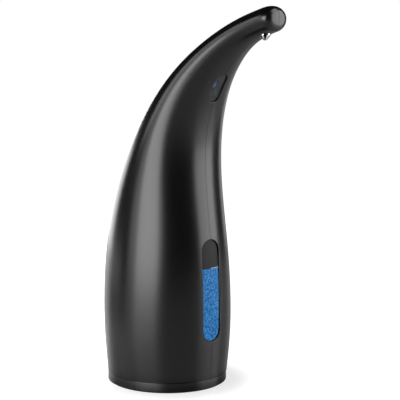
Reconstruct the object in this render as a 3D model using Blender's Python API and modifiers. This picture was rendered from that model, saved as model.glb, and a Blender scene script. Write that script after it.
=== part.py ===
"""Automatic soap dispenser with a swan neck.

The body is one horn: an oval section that follows a spine from a round base up into a spout.
X points to the spout, Y to the left and Z up. The origin is the middle of the base, on the
surface that the dispenser stands on. Lengths are in metres and angles in degrees.
"""
import math

import bmesh
import bpy
import numpy as np
from mathutils import Matrix, Vector

# Body
BASE_RADIUS = 0.0400
SPINE_RISE = 0.2395
SPINE_REACH = 0.0880
TIP_LENGTH = 0.0081
SEAM_HEIGHT = 0.0070
WALL = 0.0022
GAP = 0.0003
OVERRUN = 0.0020
WELD = 0.000001

# Level window in the front
WINDOW_LENGTH = 0.0685
WINDOW_WIDTH = 0.0156
WINDOW_HEIGHT = 0.0665
WINDOW_RECESS = 0.0010
WINDOW_THICKNESS = 0.0016

# Sensor window under the neck
SENSOR_LENGTH = 0.0205
SENSOR_WIDTH = 0.0102
SENSOR_HEIGHT = 0.1972
SENSOR_RECESS = 0.0010
LENS_THICKNESS = 0.0015
SENSOR_BOARD_DEPTH = 0.0078
BOARD_THICKNESS = 0.0012
LED_RADIUS = 0.0015
LED_LENGTH = 0.0033

# Nozzle under the spout, placed by its share of the spine's reach
NOZZLE_SHARE = 0.94773
NOZZLE_RADIUS = 0.0035
NOZZLE_TIP_RADIUS = 0.0010
NOZZLE_DROP = 0.0028
NOZZLE_BORE_RADIUS = 0.0006
NOZZLE_FLANGE_RADIUS = 0.0042
NOZZLE_FLANGE = 0.0009
HOLDER_RADIUS = 0.0043
HOLDER_HEIGHT = 0.0062
VALVE_RADIUS = 0.0021

# Soap tank, and the soap in it
TANK_CLEARANCE = 0.0007
TANK_WALL = 0.0015
TANK_FLOOR = 0.0310
TANK_TOP = 0.1890
TUBE_ROOM = 0.0080
SOAP_LEVEL = 0.0805
TANK_SPIGOT_Y = 0.0270
TANK_SPIGOT_HEIGHT = 0.0362

# Filler cap on the back of the neck
CAP_HEIGHT = 0.1760
CAP_RADIUS = 0.0128
CAP_THICKNESS = 0.0022
CAP_DEPTH = 0.0105
NECK_RADIUS = 0.0110
NECK_WALL = 0.0013
SEAL_RADIUS = 0.0005
PLUG_WALL = 0.0018

# Control panel on the back
PANEL_HEIGHT = 0.1180
PANEL_LENGTH = 0.0400
PANEL_WIDTH = 0.0170
BUTTON_RADIUS = 0.0045
BUTTON_SPACING = 0.0170
BUTTON_TRAVEL = 0.0008
BUTTON_RISE = 0.0004
CONTROL_BOARD_DEPTH = 0.0084
SWITCH_SIDE = 0.0045
SWITCH_HEIGHT = 0.0018

# Machine bay: motor, gears and gear pump
BAY_FRONT = 0.0030
BAY_TOP = 0.0635
MOTOR_RADIUS = 0.0100
MOTOR_FLAT = 0.0075
MOTOR_LENGTH = 0.0250
MOTOR_FACE = -0.0040
MOTOR_AXIS_X = -0.0130
MOTOR_AXIS_HEIGHT = 0.0380
MOTOR_SHAFT_RADIUS = 0.0010
NOSE_RADIUS = 0.0030
GEAR_MODULE = 0.0006
GEAR_WIDTH = 0.0040
BRACKET_THICKNESS = 0.0020
PUMP_MODULE = 0.0010
ROTOR_WIDTH = 0.0076
PUMP_WALL = 0.0020
PUMP_SHAFT_RADIUS = 0.0015
IDLER_PIN_RADIUS = 0.0012
EAR_RADIUS = 0.0032
EAR_REACHES = (0.0114, -0.0090)
EAR_RISES = (-0.0065, 0.0066)
POST_RADIUS = 0.0026
PUMP_SCREW_RADIUS = 0.0010

# Tubes and wires
TUBE_RADIUS = 0.0028
TUBE_BORE_RADIUS = 0.0019
TUBE_SIDE = 0.0155
BARB_RADIUS = 0.0014
BARB_BORE_RADIUS = 0.0008
BARB_LENGTH = 0.0042
WIRE_RADIUS = 0.0006
CABLE_RADIUS = 0.0009

# Base: twist-off cover, rubber foot pad, battery tray and cells
FOOT_RIM = 0.0060
FOOT_GROOVE = 0.0005
FOOT_CENTRE = 0.0120
FLOOR_HEIGHT = 0.0009
FLOOR_TOP = 0.0032
CHAMFER = 0.0009
CELL_RADIUS = 0.00525
CELL_LENGTH = 0.0445
CELL_NUB_RADIUS = 0.0019
CELL_NUB = 0.0010
CELL_PITCH = 0.0112
CELL_HEIGHT = 0.0147
CONTACT_ROOM = 0.0034
CONTACT_THICKNESS = 0.0004
CONTACT_SHARE = 0.72
SPRING_RADIUS = 0.0030
SPRING_WIRE_RADIUS = 0.00030
SPRING_TURNS = 2
TRAY_WALL = 0.0018
TRAY_TOP = 0.0230
SKIRT_THICKNESS = 0.0020
SKIRT_BOTTOM = 0.0050
SKIRT_CLEARANCE = 0.0009
SPIGOT_RADIUS = 0.0332
SPIGOT_THICKNESS = 0.0016
LUG_REACH = 0.0014
LUG_HEIGHT = 0.0015
LUG_BOTTOM = 0.0069
LUG_COUNT = 3
LUG_ANGLE = 24
TRAY_SCREW_X = 0.0120
TRAY_SCREW_Y = 0.0285
TRAY_SCREW_RADIUS = 0.00125
SCREW_HEAD_RADIUS = 0.0022
SCREW_HEAD_HEIGHT = 0.0018
BOSS_RADIUS = 0.0030
BOSS_HEIGHT = 0.0066
WEB_THICKNESS = 0.0012

# Gear teeth
SPUR_TEETH = 30
PINION_TEETH = 10
ROTOR_TEETH = 12
PRESSURE_ANGLE = 25
ADDENDUM_SHARE = 0.82
DEDENDUM_SHARE = 1.10
BACKLASH_SHARE = 0.16

# Smoothness
HORN_SIDES = 28
CAVITY_SIDES = 24
TANK_SIDES = 18
ROUND_SIDES = 20
BASE_SIDES = 32
SMALL_SIDES = 10

# Sections of the horn, equally spaced along the spine: rise as a share of SPINE_RISE, reach as a
# share of SPINE_REACH, half depth and half width as shares of BASE_RADIUS.
STATION_SHARES = (
    (0.000, 0.000, 0.985, 0.985),
    (0.160, 0.004, 1.035, 1.090),
    (0.350, -0.006, 1.030, 1.040),
    (0.540, 0.025, 0.855, 0.910),
    (0.713, 0.147, 0.575, 0.765),
    (0.857, 0.374, 0.360, 0.566),
    (0.957, 0.697, 0.232, 0.358),
    (1.000, 1.000, 0.203, 0.270),
)

FRONT = 0.0
BACK = math.pi


def clear_scene():
    for obj in list(bpy.data.objects):
        bpy.data.objects.remove(obj)


def new_collection(name):
    collection = bpy.data.collections.new(name)
    bpy.context.scene.collection.children.link(collection)
    return collection


clear_scene()
PARTS = new_collection("automatic_soap_dispenser")
CUTTERS = new_collection("cutters")


def finish(name, colour, roughness, metallic=0.0):
    material = bpy.data.materials.new(name)
    material.use_nodes = True
    shader = material.node_tree.nodes["Principled BSDF"]
    shader.inputs["Base Color"].default_value = (*colour, 1)
    shader.inputs["Roughness"].default_value = roughness
    shader.inputs["Metallic"].default_value = metallic
    return material


def add_object(name, mesh, collection, frame=None):
    obj = bpy.data.objects.new(name, mesh)
    collection.objects.link(obj)
    obj.parent = frame
    if collection is CUTTERS:
        obj.hide_render = True
        obj.display_type = "WIRE"
    return obj


def mesh_object(name, bm, frame=None):
    """A bmesh becomes a cutter; dress() makes it a part."""
    bmesh.ops.recalc_face_normals(bm, faces=bm.faces)
    mesh = bpy.data.meshes.new(name)
    bm.to_mesh(mesh)
    bm.free()
    return add_object(name, mesh, CUTTERS, frame)


def dress(obj, colour, roughness, metallic=0.0):
    """Moves a shape to the parts and gives it its own finish."""
    CUTTERS.objects.unlink(obj)
    PARTS.objects.link(obj)
    obj.hide_render = False
    obj.display_type = "TEXTURED"
    obj.data.materials.clear()
    obj.data.materials.append(finish(obj.name, colour, roughness, metallic))
    obj.data.shade_smooth()
    obj.data.set_sharp_from_angle(angle=math.radians(35))
    return obj


def combine(target, operation, *tools):
    """Adds one boolean modifier for each tool, in turn."""
    for tool in tools:
        modifier = target.modifiers.new(operation.lower(), "BOOLEAN")
        modifier.operation = operation
        modifier.object = tool
    return target


def cut(target, *tools):
    return combine(target, "DIFFERENCE", *tools)


def join(target, *tools):
    return combine(target, "UNION", *tools)


def block(name, low, high, frame=None):
    low, high = Vector(low), Vector(high)
    bm = bmesh.new()
    bmesh.ops.create_cube(bm, size=1)
    bmesh.ops.scale(bm, vec=high - low, verts=bm.verts)
    bmesh.ops.translate(bm, vec=(low + high) / 2, verts=bm.verts)
    return mesh_object(name, bm, frame)


def rod(name, radius, start, end, sides=SMALL_SIDES, frame=None):
    start, end = Vector(start), Vector(end)
    bm = bmesh.new()
    bmesh.ops.create_cone(bm, cap_ends=True, segments=sides, radius1=radius, radius2=radius,
                          depth=(end - start).length)
    turn = (end - start).to_track_quat("Z", "Y").to_matrix().to_4x4()
    bmesh.ops.transform(bm, matrix=Matrix.Translation((start + end) / 2) @ turn, verts=bm.verts)
    return mesh_object(name, bm, frame)


def turned(name, profile, sides=ROUND_SIDES, frame=None, closed=False):
    """Turns a profile of (radius, height) points round Z. It runs down the outer side."""
    bm = bmesh.new()
    points = [bm.verts.new((radius, 0, height)) for radius, height in profile]
    for first, second in zip(points, points[1:]):
        bm.edges.new((first, second))
    if closed:
        bm.edges.new((points[-1], points[0]))
    mesh = bpy.data.meshes.new(name)
    bm.to_mesh(mesh)
    bm.free()
    obj = add_object(name, mesh, CUTTERS, frame)
    screw = obj.modifiers.new("turn", "SCREW")
    screw.steps = sides
    screw.render_steps = sides
    screw.use_merge_vertices = True
    screw.merge_threshold = WELD
    return obj


def as_mesh(curve_object):
    """Replaces a curve object by its welded mesh."""
    bpy.context.view_layer.update()
    evaluated = curve_object.evaluated_get(bpy.context.evaluated_depsgraph_get())
    mesh = bpy.data.meshes.new_from_object(evaluated)
    bm = bmesh.new()
    bm.from_mesh(mesh)
    bpy.data.meshes.remove(mesh)
    bmesh.ops.remove_doubles(bm, verts=bm.verts, dist=WELD)
    name, frame, place = curve_object.name, curve_object.parent, curve_object.matrix_basis.copy()
    bpy.data.objects.remove(curve_object)
    obj = mesh_object(name, bm, frame)
    obj.matrix_basis = place
    return obj


def plate(name, outlines, thickness, frame=None):
    """A flat plate in the XY plane, centred on it. Outlines after the first are holes."""
    curve = bpy.data.curves.new(name, "CURVE")
    curve.dimensions = "2D"
    curve.fill_mode = "BOTH"
    curve.extrude = thickness / 2
    for outline in outlines:
        spline = curve.splines.new("POLY")
        spline.points.add(len(outline) - 1)
        for point, (x, y) in zip(spline.points, outline):
            point.co = (x, y, 0, 1)
        spline.use_cyclic_u = True
    return as_mesh(add_object(name, curve, CUTTERS, frame))


def rod_along(name, points, radius, resolution=2):
    """A round rod along a list of points."""
    curve = bpy.data.curves.new(name, "CURVE")
    curve.dimensions = "3D"
    curve.bevel_depth = radius
    curve.bevel_resolution = resolution
    curve.use_fill_caps = True
    spline = curve.splines.new("POLY")
    spline.points.add(len(points) - 1)
    for point, place in zip(spline.points, points):
        point.co = (*place, 1)
    return as_mesh(add_object(name, curve, CUTTERS))


def circle(radius, sides, centre=(0, 0), start=0.0, sweep=2 * math.pi):
    """Points on an arc. A full circle leaves out its repeated end."""
    full = abs(sweep - 2 * math.pi) < 1e-9
    count = sides if full else sides + 1
    angles = [start + sweep * i / sides for i in range(count)]
    return [(centre[0] + radius * math.cos(a), centre[1] + radius * math.sin(a)) for a in angles]


def obround(length, width, sides=8):
    """A slot outline along Y: two half circles joined by straight runs."""
    radius = width / 2
    straight = length / 2 - radius
    top = circle(radius, sides, (0, straight), 0, math.pi)
    bottom = circle(radius, sides, (0, -straight), math.pi, math.pi)
    return top + bottom


def hull_outline(discs, sides=ROUND_SIDES):
    """The outline of a belt round some discs, given as (x, y, radius)."""
    points = sorted(point for x, y, radius in discs for point in circle(radius, sides, (x, y)))

    def half(ordered):
        chain = []
        for point in ordered:
            while len(chain) > 1 and turn_of(chain[-2], chain[-1], point) <= 0:
                chain.pop()
            chain.append(point)
        return chain[:-1]

    return half(points) + half(reversed(points))


def turn_of(a, b, c):
    return (b[0] - a[0]) * (c[1] - a[1]) - (b[1] - a[1]) * (c[0] - a[0])


class Spline:
    """The natural cubic through equally spaced values, from 0 to 1."""

    def __init__(self, values):
        self.values = np.array(values, float)
        count = len(values)
        matrix = np.eye(count)
        right = np.zeros(self.values.shape)
        for i in range(1, count - 1):
            matrix[i, i - 1:i + 2] = (1, 4, 1)
            right[i] = 6 * (self.values[i - 1] - 2 * self.values[i] + self.values[i + 1])
        self.bends = np.linalg.solve(matrix, right)

    def at(self, share):
        place = share * (len(self.values) - 1)
        i = min(max(int(place), 0), len(self.values) - 2)
        u = place - i
        straight = self.values[i] * (1 - u) + self.values[i + 1] * u
        first = ((1 - u) ** 3 - (1 - u)) / 6
        second = (u ** 3 - u) / 6
        return straight + first * self.bends[i] + second * self.bends[i + 1]


HORN = Spline([
    (reach * SPINE_REACH, rise * SPINE_RISE, depth * BASE_RADIUS, width * BASE_RADIUS)
    for rise, reach, depth, width in STATION_SHARES
])


def spine(share):
    x, z, half_depth, half_width = HORN.at(share)
    return Vector((x, 0, z)), half_depth, half_width


def spine_direction(share):
    """Direction of the spine, from just below a share to just above it."""
    step = 0.001
    return (spine(share + step)[0] - spine(share - step)[0]).normalized()


def across(share):
    """Direction from the spine to the front of the section."""
    along = spine_direction(share)
    return Vector((along.z, 0, -along.x))


def skin(share, angle, inset=0.0):
    """A point of the horn, set in from its surface. Angle 0 is the front and pi the back."""
    centre, half_depth, half_width = spine(share)
    return (centre + across(share) * (half_depth - inset) * math.cos(angle)
            + Vector((0, (half_width - inset) * math.sin(angle), 0)))


def skin_frame(name, share, angle):
    """An empty on the skin at the front or back: Z points out and Y up along the skin."""
    step = 0.002
    upward = (skin(share + step, angle) - skin(share - step, angle)).normalized()
    sideways = Vector((0, math.cos(angle), 0))
    outward = sideways.cross(upward)
    empty = bpy.data.objects.new(name, None)
    CUTTERS.objects.link(empty)
    empty.matrix_world = (Matrix.Translation(skin(share, angle))
                          @ Matrix((sideways, upward, outward)).transposed().to_4x4())
    bpy.context.view_layer.update()
    return empty


def share_at(height, place):
    """The share of the spine at which place(share) reaches a height."""
    low, high = 0.0, 1.0
    for _ in range(40):
        middle = (low + high) / 2
        if place(middle).z < height:
            low = middle
        else:
            high = middle
    return low


def skin_share(height, angle):
    return share_at(height, lambda share: skin(share, angle))


def spine_share(height):
    return share_at(height, lambda share: spine(share)[0])


def steps(start, end, count):
    return [start + (end - start) * i / count for i in range(count + 1)]


def loft(name, rings):
    """A closed solid through rings of as many points each, flat at both ends."""
    bm = bmesh.new()
    loops = [[bm.verts.new(point) for point in ring] for ring in rings]
    for lower, upper in zip(loops, loops[1:]):
        for i in range(len(lower)):
            j = (i + 1) % len(lower)
            bm.faces.new((lower[i], lower[j], upper[j], upper[i]))
    bm.faces.new(loops[0])
    bm.faces.new(loops[-1])
    bmesh.ops.triangulate(bm, faces=bm.faces)
    return mesh_object(name, bm)


def horn_ring(share, inset, sides):
    return [skin(share, 2 * math.pi * i / sides, inset) for i in range(sides)]


def tip_rings(inset, sides, count=4):
    """The rounded end of the spout, from the last section on."""
    centre, half_depth, half_width = spine(1)
    rings = []
    for i in range(1, count + 1):
        angle = math.radians(84) * i / count
        middle = centre + spine_direction(1) * (TIP_LENGTH - inset) * math.sin(angle)
        ring = []
        for k in range(sides):
            turn = 2 * math.pi * k / sides
            depth = (half_depth - inset) * math.cos(angle) * math.cos(turn)
            width = (half_width - inset) * math.cos(angle) * math.sin(turn)
            ring.append(middle + across(1) * depth + Vector((0, width, 0)))
        rings.append(ring)
    return rings


def horn_solid(name, inset, count=19, sides=HORN_SIDES):
    """The whole horn, set in from its surface, from under the base to the tip."""
    rings = [horn_ring(share, inset, sides) for share in steps(0, 1, count)]
    first = [point - Vector((0, 0, inset)) for point in rings[0]]
    return loft(name, ([first] if inset else []) + rings + tip_rings(inset, sides))


def skin_patch(name, share, angle, reach, inset, thickness, sides=HORN_SIDES):
    """A piece of the horn's wall, reach long each way along the spine from a share."""
    span = reach / (spine(share + 0.01)[0] - spine(share - 0.01)[0]).length * 0.02
    shares = steps(share - span, share + span, 8)
    outer = loft(name, [horn_ring(s, inset, sides) for s in shares])
    inner_shares = steps(share - span * 1.1, share + span * 1.1, 8)
    inner = loft(name + "_inside", [horn_ring(s, inset + thickness, sides) for s in inner_shares])
    return cut(outer, inner)


def slot_prism(name, frame, length, width, depth):
    """A slot-shaped cutter through the skin, square to it."""
    return plate(name, [obround(length, width)], 2 * depth, frame)


# Places on the horn that several pieces share
NOZZLE_REACH = NOZZLE_SHARE * SPINE_REACH
WINDOW_SHARE = skin_share(WINDOW_HEIGHT, FRONT)
SENSOR_SHARE = skin_share(SENSOR_HEIGHT, FRONT)
PANEL_SHARE = skin_share(PANEL_HEIGHT, BACK)
CAP_SHARE = skin_share(CAP_HEIGHT, BACK)
TANK_INSET = WALL + TANK_CLEARANCE
TUBE_MIDDLE = (TUBE_ROOM + TANK_CLEARANCE) / 2
WINDOW_FRAME = skin_frame("window_frame", WINDOW_SHARE, FRONT)
SENSOR_FRAME = skin_frame("sensor_frame", SENSOR_SHARE, FRONT)
PANEL_FRAME = skin_frame("panel_frame", PANEL_SHARE, BACK)
CAP_FRAME = skin_frame("cap_frame", CAP_SHARE, BACK)
SHELL_BLACK = (0.018, 0.018, 0.019)
SATIN = 0.42


def shell(name, side):
    """One half of the housing, split down the middle. Side is 1 for the left, -1 for the right."""
    half = horn_solid(name, 0)
    cavity = horn_solid(name + "_cavity", WALL, 14, CAVITY_SIDES)
    seam = SEAM_HEIGHT + GAP / 2
    near, far = side * GAP / 2, side * 2 * BASE_RADIUS
    keep = block(name + "_keep", (-2 * BASE_RADIUS, min(near, far), seam),
                 (2 * SPINE_REACH, max(near, far), SPINE_RISE + 2 * BASE_RADIUS))
    cut(half, cavity)
    for boss in tray_bosses(name, side):
        join(half, boss)
    combine(half, "INTERSECT", keep)
    hole_depth = WALL + OVERRUN
    cut(half,
        slot_prism(name + "_window_hole", WINDOW_FRAME, WINDOW_LENGTH, WINDOW_WIDTH, 2 * hole_depth),
        slot_prism(name + "_sensor_hole", SENSOR_FRAME, SENSOR_LENGTH, SENSOR_WIDTH, hole_depth),
        slot_prism(name + "_panel_hole", PANEL_FRAME, PANEL_LENGTH, PANEL_WIDTH, 2 * hole_depth),
        rod(name + "_cap_hole", CAP_RADIUS + GAP, (0, 0, -2 * hole_depth), (0, 0, OVERRUN),
            ROUND_SIDES, CAP_FRAME),
        rod(name + "_nozzle_hole", NOZZLE_RADIUS + GAP,
            (NOZZLE_REACH, 0, nozzle_seat() - 2 * hole_depth),
            (NOZZLE_REACH, 0, nozzle_seat() + OVERRUN),
            SMALL_SIDES))
    for x in (-TRAY_SCREW_X, TRAY_SCREW_X):
        start = (x, side * TRAY_SCREW_Y, seam)
        end = (x, side * TRAY_SCREW_Y, TRAY_TOP + BOSS_HEIGHT - GAP)
        cut(half, rod(name + "_pilot", TRAY_SCREW_RADIUS + GAP, start, end, 12))
    dress(half, SHELL_BLACK, SATIN)


def tray_bosses(name, side):
    """Screw bosses over the battery tray, each on a web that runs out to the wall."""
    bottom = TRAY_TOP + GAP
    top = bottom + BOSS_HEIGHT
    for x in (-TRAY_SCREW_X, TRAY_SCREW_X):
        y = side * TRAY_SCREW_Y
        centre, half_depth, half_width = spine(spine_share(top))
        wall_y = side * (half_width - WALL / 2) * math.sqrt(1 - (x / half_depth) ** 2)
        yield rod(name + "_boss", BOSS_RADIUS, (x, y, bottom), (x, y, top), 12)
        yield block(name + "_web", (x - WEB_THICKNESS / 2, min(y, wall_y), bottom + GAP),
                    (x + WEB_THICKNESS / 2, max(y, wall_y), top - GAP))


def level_window():
    """Clear strip let into the front, set back from the skin."""
    window = skin_patch("level_window", WINDOW_SHARE, FRONT, WINDOW_LENGTH * 0.6, WINDOW_RECESS,
                        WINDOW_THICKNESS)
    outline = slot_prism("window_outline", WINDOW_FRAME, WINDOW_LENGTH - 2 * GAP,
                         WINDOW_WIDTH - 2 * GAP, 3 * WALL)
    combine(window, "INTERSECT", outline)
    dress(window, (0.35, 0.38, 0.40), 0.12)


def sensor_parts():
    """Smoked lens, and behind it the board with its emitter, receiver and indicator."""
    lens = skin_patch("sensor_lens", SENSOR_SHARE, FRONT, SENSOR_LENGTH * 0.7, SENSOR_RECESS,
                      LENS_THICKNESS)
    outline = slot_prism("lens_outline", SENSOR_FRAME, SENSOR_LENGTH - 2 * GAP,
                         SENSOR_WIDTH - 2 * GAP, 2 * WALL)
    combine(lens, "INTERSECT", outline)
    dress(lens, (0.02, 0.02, 0.025), 0.08)

    board_top = -SENSOR_BOARD_DEPTH + BOARD_THICKNESS
    width = SENSOR_WIDTH - 2 * GAP
    length = SENSOR_LENGTH - 2 * GAP
    board = block("sensor_board", (-width / 2, -length / 2, -SENSOR_BOARD_DEPTH),
                  (width / 2, length / 2, board_top), SENSOR_FRAME)
    dress(board, (0.02, 0.16, 0.06), 0.4)
    spacing = (length - 4 * LED_RADIUS) / 2
    for name, place, colour in (("ir_emitter", -spacing, (0.20, 0.22, 0.30)),
                                ("status_led", 0, (0.10, 0.35, 0.90)),
                                ("ir_receiver", spacing, (0.03, 0.03, 0.04))):
        base = board_top + GAP
        shoulder = base + LED_LENGTH - LED_RADIUS
        dome = [(LED_RADIUS * math.cos(a), shoulder + LED_RADIUS * math.sin(a))
                for a in (math.radians(90 - 30 * i) for i in range(4))]
        profile = dome + [(LED_RADIUS, base), (0, base)]
        led = turned(name, profile, 8, SENSOR_FRAME)
        led.location = (0, place, 0)
        dress(led, colour, 0.15)


def nozzle_seat():
    """Height of the inside of the spout's floor over the nozzle."""
    return skin(skin_share_reach(NOZZLE_REACH), FRONT, WALL).z


def skin_share_reach(reach):
    """The share of the spine at which the underside lies a given way forward."""
    low, high = 0.5, 1.0
    for _ in range(40):
        middle = (low + high) / 2
        if skin(middle, FRONT).x < reach:
            low = middle
        else:
            high = middle
    return low


def nozzle_parts():
    """Nozzle, its silicone valve and the holder that the delivery tube ends in."""
    flange = nozzle_seat() + (NOZZLE_FLANGE_RADIUS + GAP) * math.tan(math.radians(25))
    top = flange + NOZZLE_FLANGE
    surface = skin(skin_share_reach(NOZZLE_REACH), FRONT).z
    tip = surface - NOZZLE_DROP
    shoulder = surface + NOZZLE_RADIUS * math.tan(math.radians(20))
    pocket = VALVE_RADIUS + GAP
    pocket_floor = surface + WALL / 2
    profile = [(NOZZLE_FLANGE_RADIUS, top), (NOZZLE_FLANGE_RADIUS, flange), (NOZZLE_RADIUS, flange),
               (NOZZLE_RADIUS, shoulder), (NOZZLE_TIP_RADIUS, tip), (NOZZLE_BORE_RADIUS, tip),
               (NOZZLE_BORE_RADIUS, pocket_floor), (pocket, pocket_floor), (pocket, top)]
    nozzle = turned("nozzle", profile, 20, closed=True)
    nozzle.location.x = NOZZLE_REACH
    dress(nozzle, (0.75, 0.75, 0.76), 0.08, 1.0)

    valve_floor = pocket_floor + GAP
    lip = NOZZLE_BORE_RADIUS / 2
    valve = turned("nozzle_valve", [(VALVE_RADIUS, top), (VALVE_RADIUS, valve_floor),
                                    (lip, valve_floor), (VALVE_RADIUS / 2, top)],
                   SMALL_SIDES, closed=True)
    valve.location.x = NOZZLE_REACH
    dress(valve, (0.8, 0.8, 0.78), 0.6)

    holder_bottom = top + GAP
    holder_top = holder_bottom + HOLDER_HEIGHT
    holder = rod("nozzle_holder", HOLDER_RADIUS, (NOZZLE_REACH, 0, holder_bottom),
                 (NOZZLE_REACH, 0, holder_top), 20)
    start, end = holder_barb()
    join(holder, rod("holder_barb", BARB_RADIUS, start, end))
    cut(holder,
        rod("holder_barb_bore", BARB_BORE_RADIUS, start, end + (end - start).normalized() * OVERRUN),
        rod("holder_bore", BARB_BORE_RADIUS, (NOZZLE_REACH, 0, holder_bottom - OVERRUN), start))
    dress(holder, (0.6, 0.6, 0.58), 0.5)


def holder_barb():
    """The middle of the nozzle holder, and the end of its barb towards the neck."""
    share = share_at(NOZZLE_REACH, lambda s: Vector((0, 0, spine(s)[0].x)))
    start = spine(share)[0]
    return start, start - spine_direction(share - 0.03) * (HOLDER_RADIUS + BARB_LENGTH)


def tank_ring(share, inset, sides=TANK_SIDES):
    """A tank section: the shell's, drawn forward at the back to leave room for the tube."""
    ring = []
    for i in range(sides):
        angle = 2 * math.pi * i / sides
        back = min(max(-math.cos(angle), 0) * 1.25, 1)
        room = TUBE_ROOM * back * back * (3 - 2 * back)
        ring.append(skin(share, angle, inset) + across(share) * room)
    return ring


def tank_solid(name, inset, floor, bay_front, bay_top, top, count=10):
    """The tank's outer or inner form: the horn above a floor, less the machine bay."""
    start = spine_share(floor - OVERRUN)
    body = loft(name, [tank_ring(share, inset) for share in steps(start, spine_share(top), count)])
    far = 2 * BASE_RADIUS
    cut(body,
        block(name + "_bay", (-far, -far, -far), (bay_front, far, bay_top)),
        block(name + "_under", (-far - OVERRUN, -far - OVERRUN, -far - OVERRUN), (far, far, floor)))
    return body


def soap_tank():
    """Blow-moulded tank with its filler neck and the spigot for the pump's tube."""
    tank = tank_solid("soap_tank", TANK_INSET, TANK_FLOOR, BAY_FRONT, BAY_TOP, TANK_TOP)
    wall = TANK_WALL
    cavity = tank_solid("tank_cavity", TANK_INSET + wall, TANK_FLOOR + wall, BAY_FRONT + wall,
                        BAY_TOP + wall, TANK_TOP - wall)
    neck_end = -neck_depth() - TUBE_ROOM
    neck = rod("filler_neck", NECK_RADIUS, (0, 0, neck_end), (0, 0, -neck_depth()), ROUND_SIDES,
               CAP_FRAME)
    bore = rod("filler_bore", NECK_RADIUS - NECK_WALL, (0, 0, neck_end - OVERRUN), (0, 0, OVERRUN),
               ROUND_SIDES, CAP_FRAME)
    inside = Vector((BAY_FRONT + wall / 2, TANK_SPIGOT_Y, TANK_SPIGOT_HEIGHT))
    outside = Vector((BAY_FRONT - BARB_LENGTH, TANK_SPIGOT_Y, TANK_SPIGOT_HEIGHT))
    beyond = Vector((OVERRUN, 0, 0))
    join(tank, neck)
    cut(tank, cavity, bore)
    join(tank, rod("tank_spigot", BARB_RADIUS, inside, outside))
    cut(tank, rod("spigot_bore", BARB_BORE_RADIUS, inside + beyond, outside - beyond))
    dress(tank, (0.45, 0.47, 0.48), 0.3)


def neck_depth():
    """How far the filler neck's rim lies under the skin, so that the curved cap clears it."""
    centre, half_depth, half_width = spine(CAP_SHARE)
    sideways_sag = NECK_RADIUS ** 2 * half_depth / (2 * half_width ** 2)
    return CAP_THICKNESS + sideways_sag * 1.5 + 2 * GAP


def liquid_soap():
    """The soap, up to its level in the tank."""
    inset = TANK_INSET + TANK_WALL + GAP
    floor = TANK_FLOOR + TANK_WALL + GAP
    soap = tank_solid("liquid_soap", inset, floor, BAY_FRONT + TANK_WALL + GAP,
                      BAY_TOP + TANK_WALL + GAP, SOAP_LEVEL + 4 * OVERRUN, 6)
    far = 2 * BASE_RADIUS + 2 * OVERRUN
    cut(soap, block("above_soap", (-far, -far, SOAP_LEVEL), (far, far, SOAP_LEVEL + far)))
    dress(soap, (0.03, 0.25, 0.75), 0.2)


def filler_cap():
    """Cap on the back of the neck: a skin-shaped head and a plug with a sealing ring."""
    head = skin_patch("filler_cap", CAP_SHARE, BACK, CAP_RADIUS * 1.3, 0, CAP_THICKNESS)
    disc = rod("cap_outline", CAP_RADIUS, (0, 0, -3 * CAP_THICKNESS), (0, 0, 2 * CAP_THICKNESS),
               ROUND_SIDES, CAP_FRAME)
    bore_radius = NECK_RADIUS - NECK_WALL
    plug_radius = bore_radius - GAP
    groove = plug_radius - 2 * SEAL_RADIUS
    seal_height = -(neck_depth() + CAP_DEPTH) / 2
    half = SEAL_RADIUS + GAP
    start = -CAP_THICKNESS / 2
    profile = [(plug_radius, start), (plug_radius, seal_height + half),
               (groove, seal_height + half), (groove, seal_height - half),
               (plug_radius, seal_height - half), (plug_radius, -CAP_DEPTH),
               (plug_radius - PLUG_WALL - SEAL_RADIUS, -CAP_DEPTH),
               (plug_radius - PLUG_WALL - SEAL_RADIUS, start)]
    plug = turned("cap_plug", profile, 18, CAP_FRAME, closed=True)
    combine(head, "INTERSECT", disc)
    join(head, plug)
    notch_depth = WALL / 2
    low = -CAP_RADIUS - OVERRUN
    cut(head, block("cap_notch", (-CAP_RADIUS / 3, low, -CAP_THICKNESS + notch_depth),
                    (CAP_RADIUS / 3, -CAP_RADIUS + notch_depth, OVERRUN), CAP_FRAME))
    centre_on(head, CAP_FRAME)
    dress(head, SHELL_BLACK, SATIN)

    ring = [(plug_radius - SEAL_RADIUS + SEAL_RADIUS * 0.8 * math.cos(a),
             seal_height + SEAL_RADIUS * 0.8 * math.sin(a))
            for a in (math.radians(90 - 60 * i) for i in range(6))]
    seal = turned("cap_seal", ring, 18, CAP_FRAME, closed=True)
    dress(seal, (0.05, 0.05, 0.05), 0.7)


def centre_on(obj, frame):
    """Gives a piece made in place the frame as its parent and origin."""
    obj.data.transform(frame.matrix_world.inverted())
    obj.parent = frame


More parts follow.
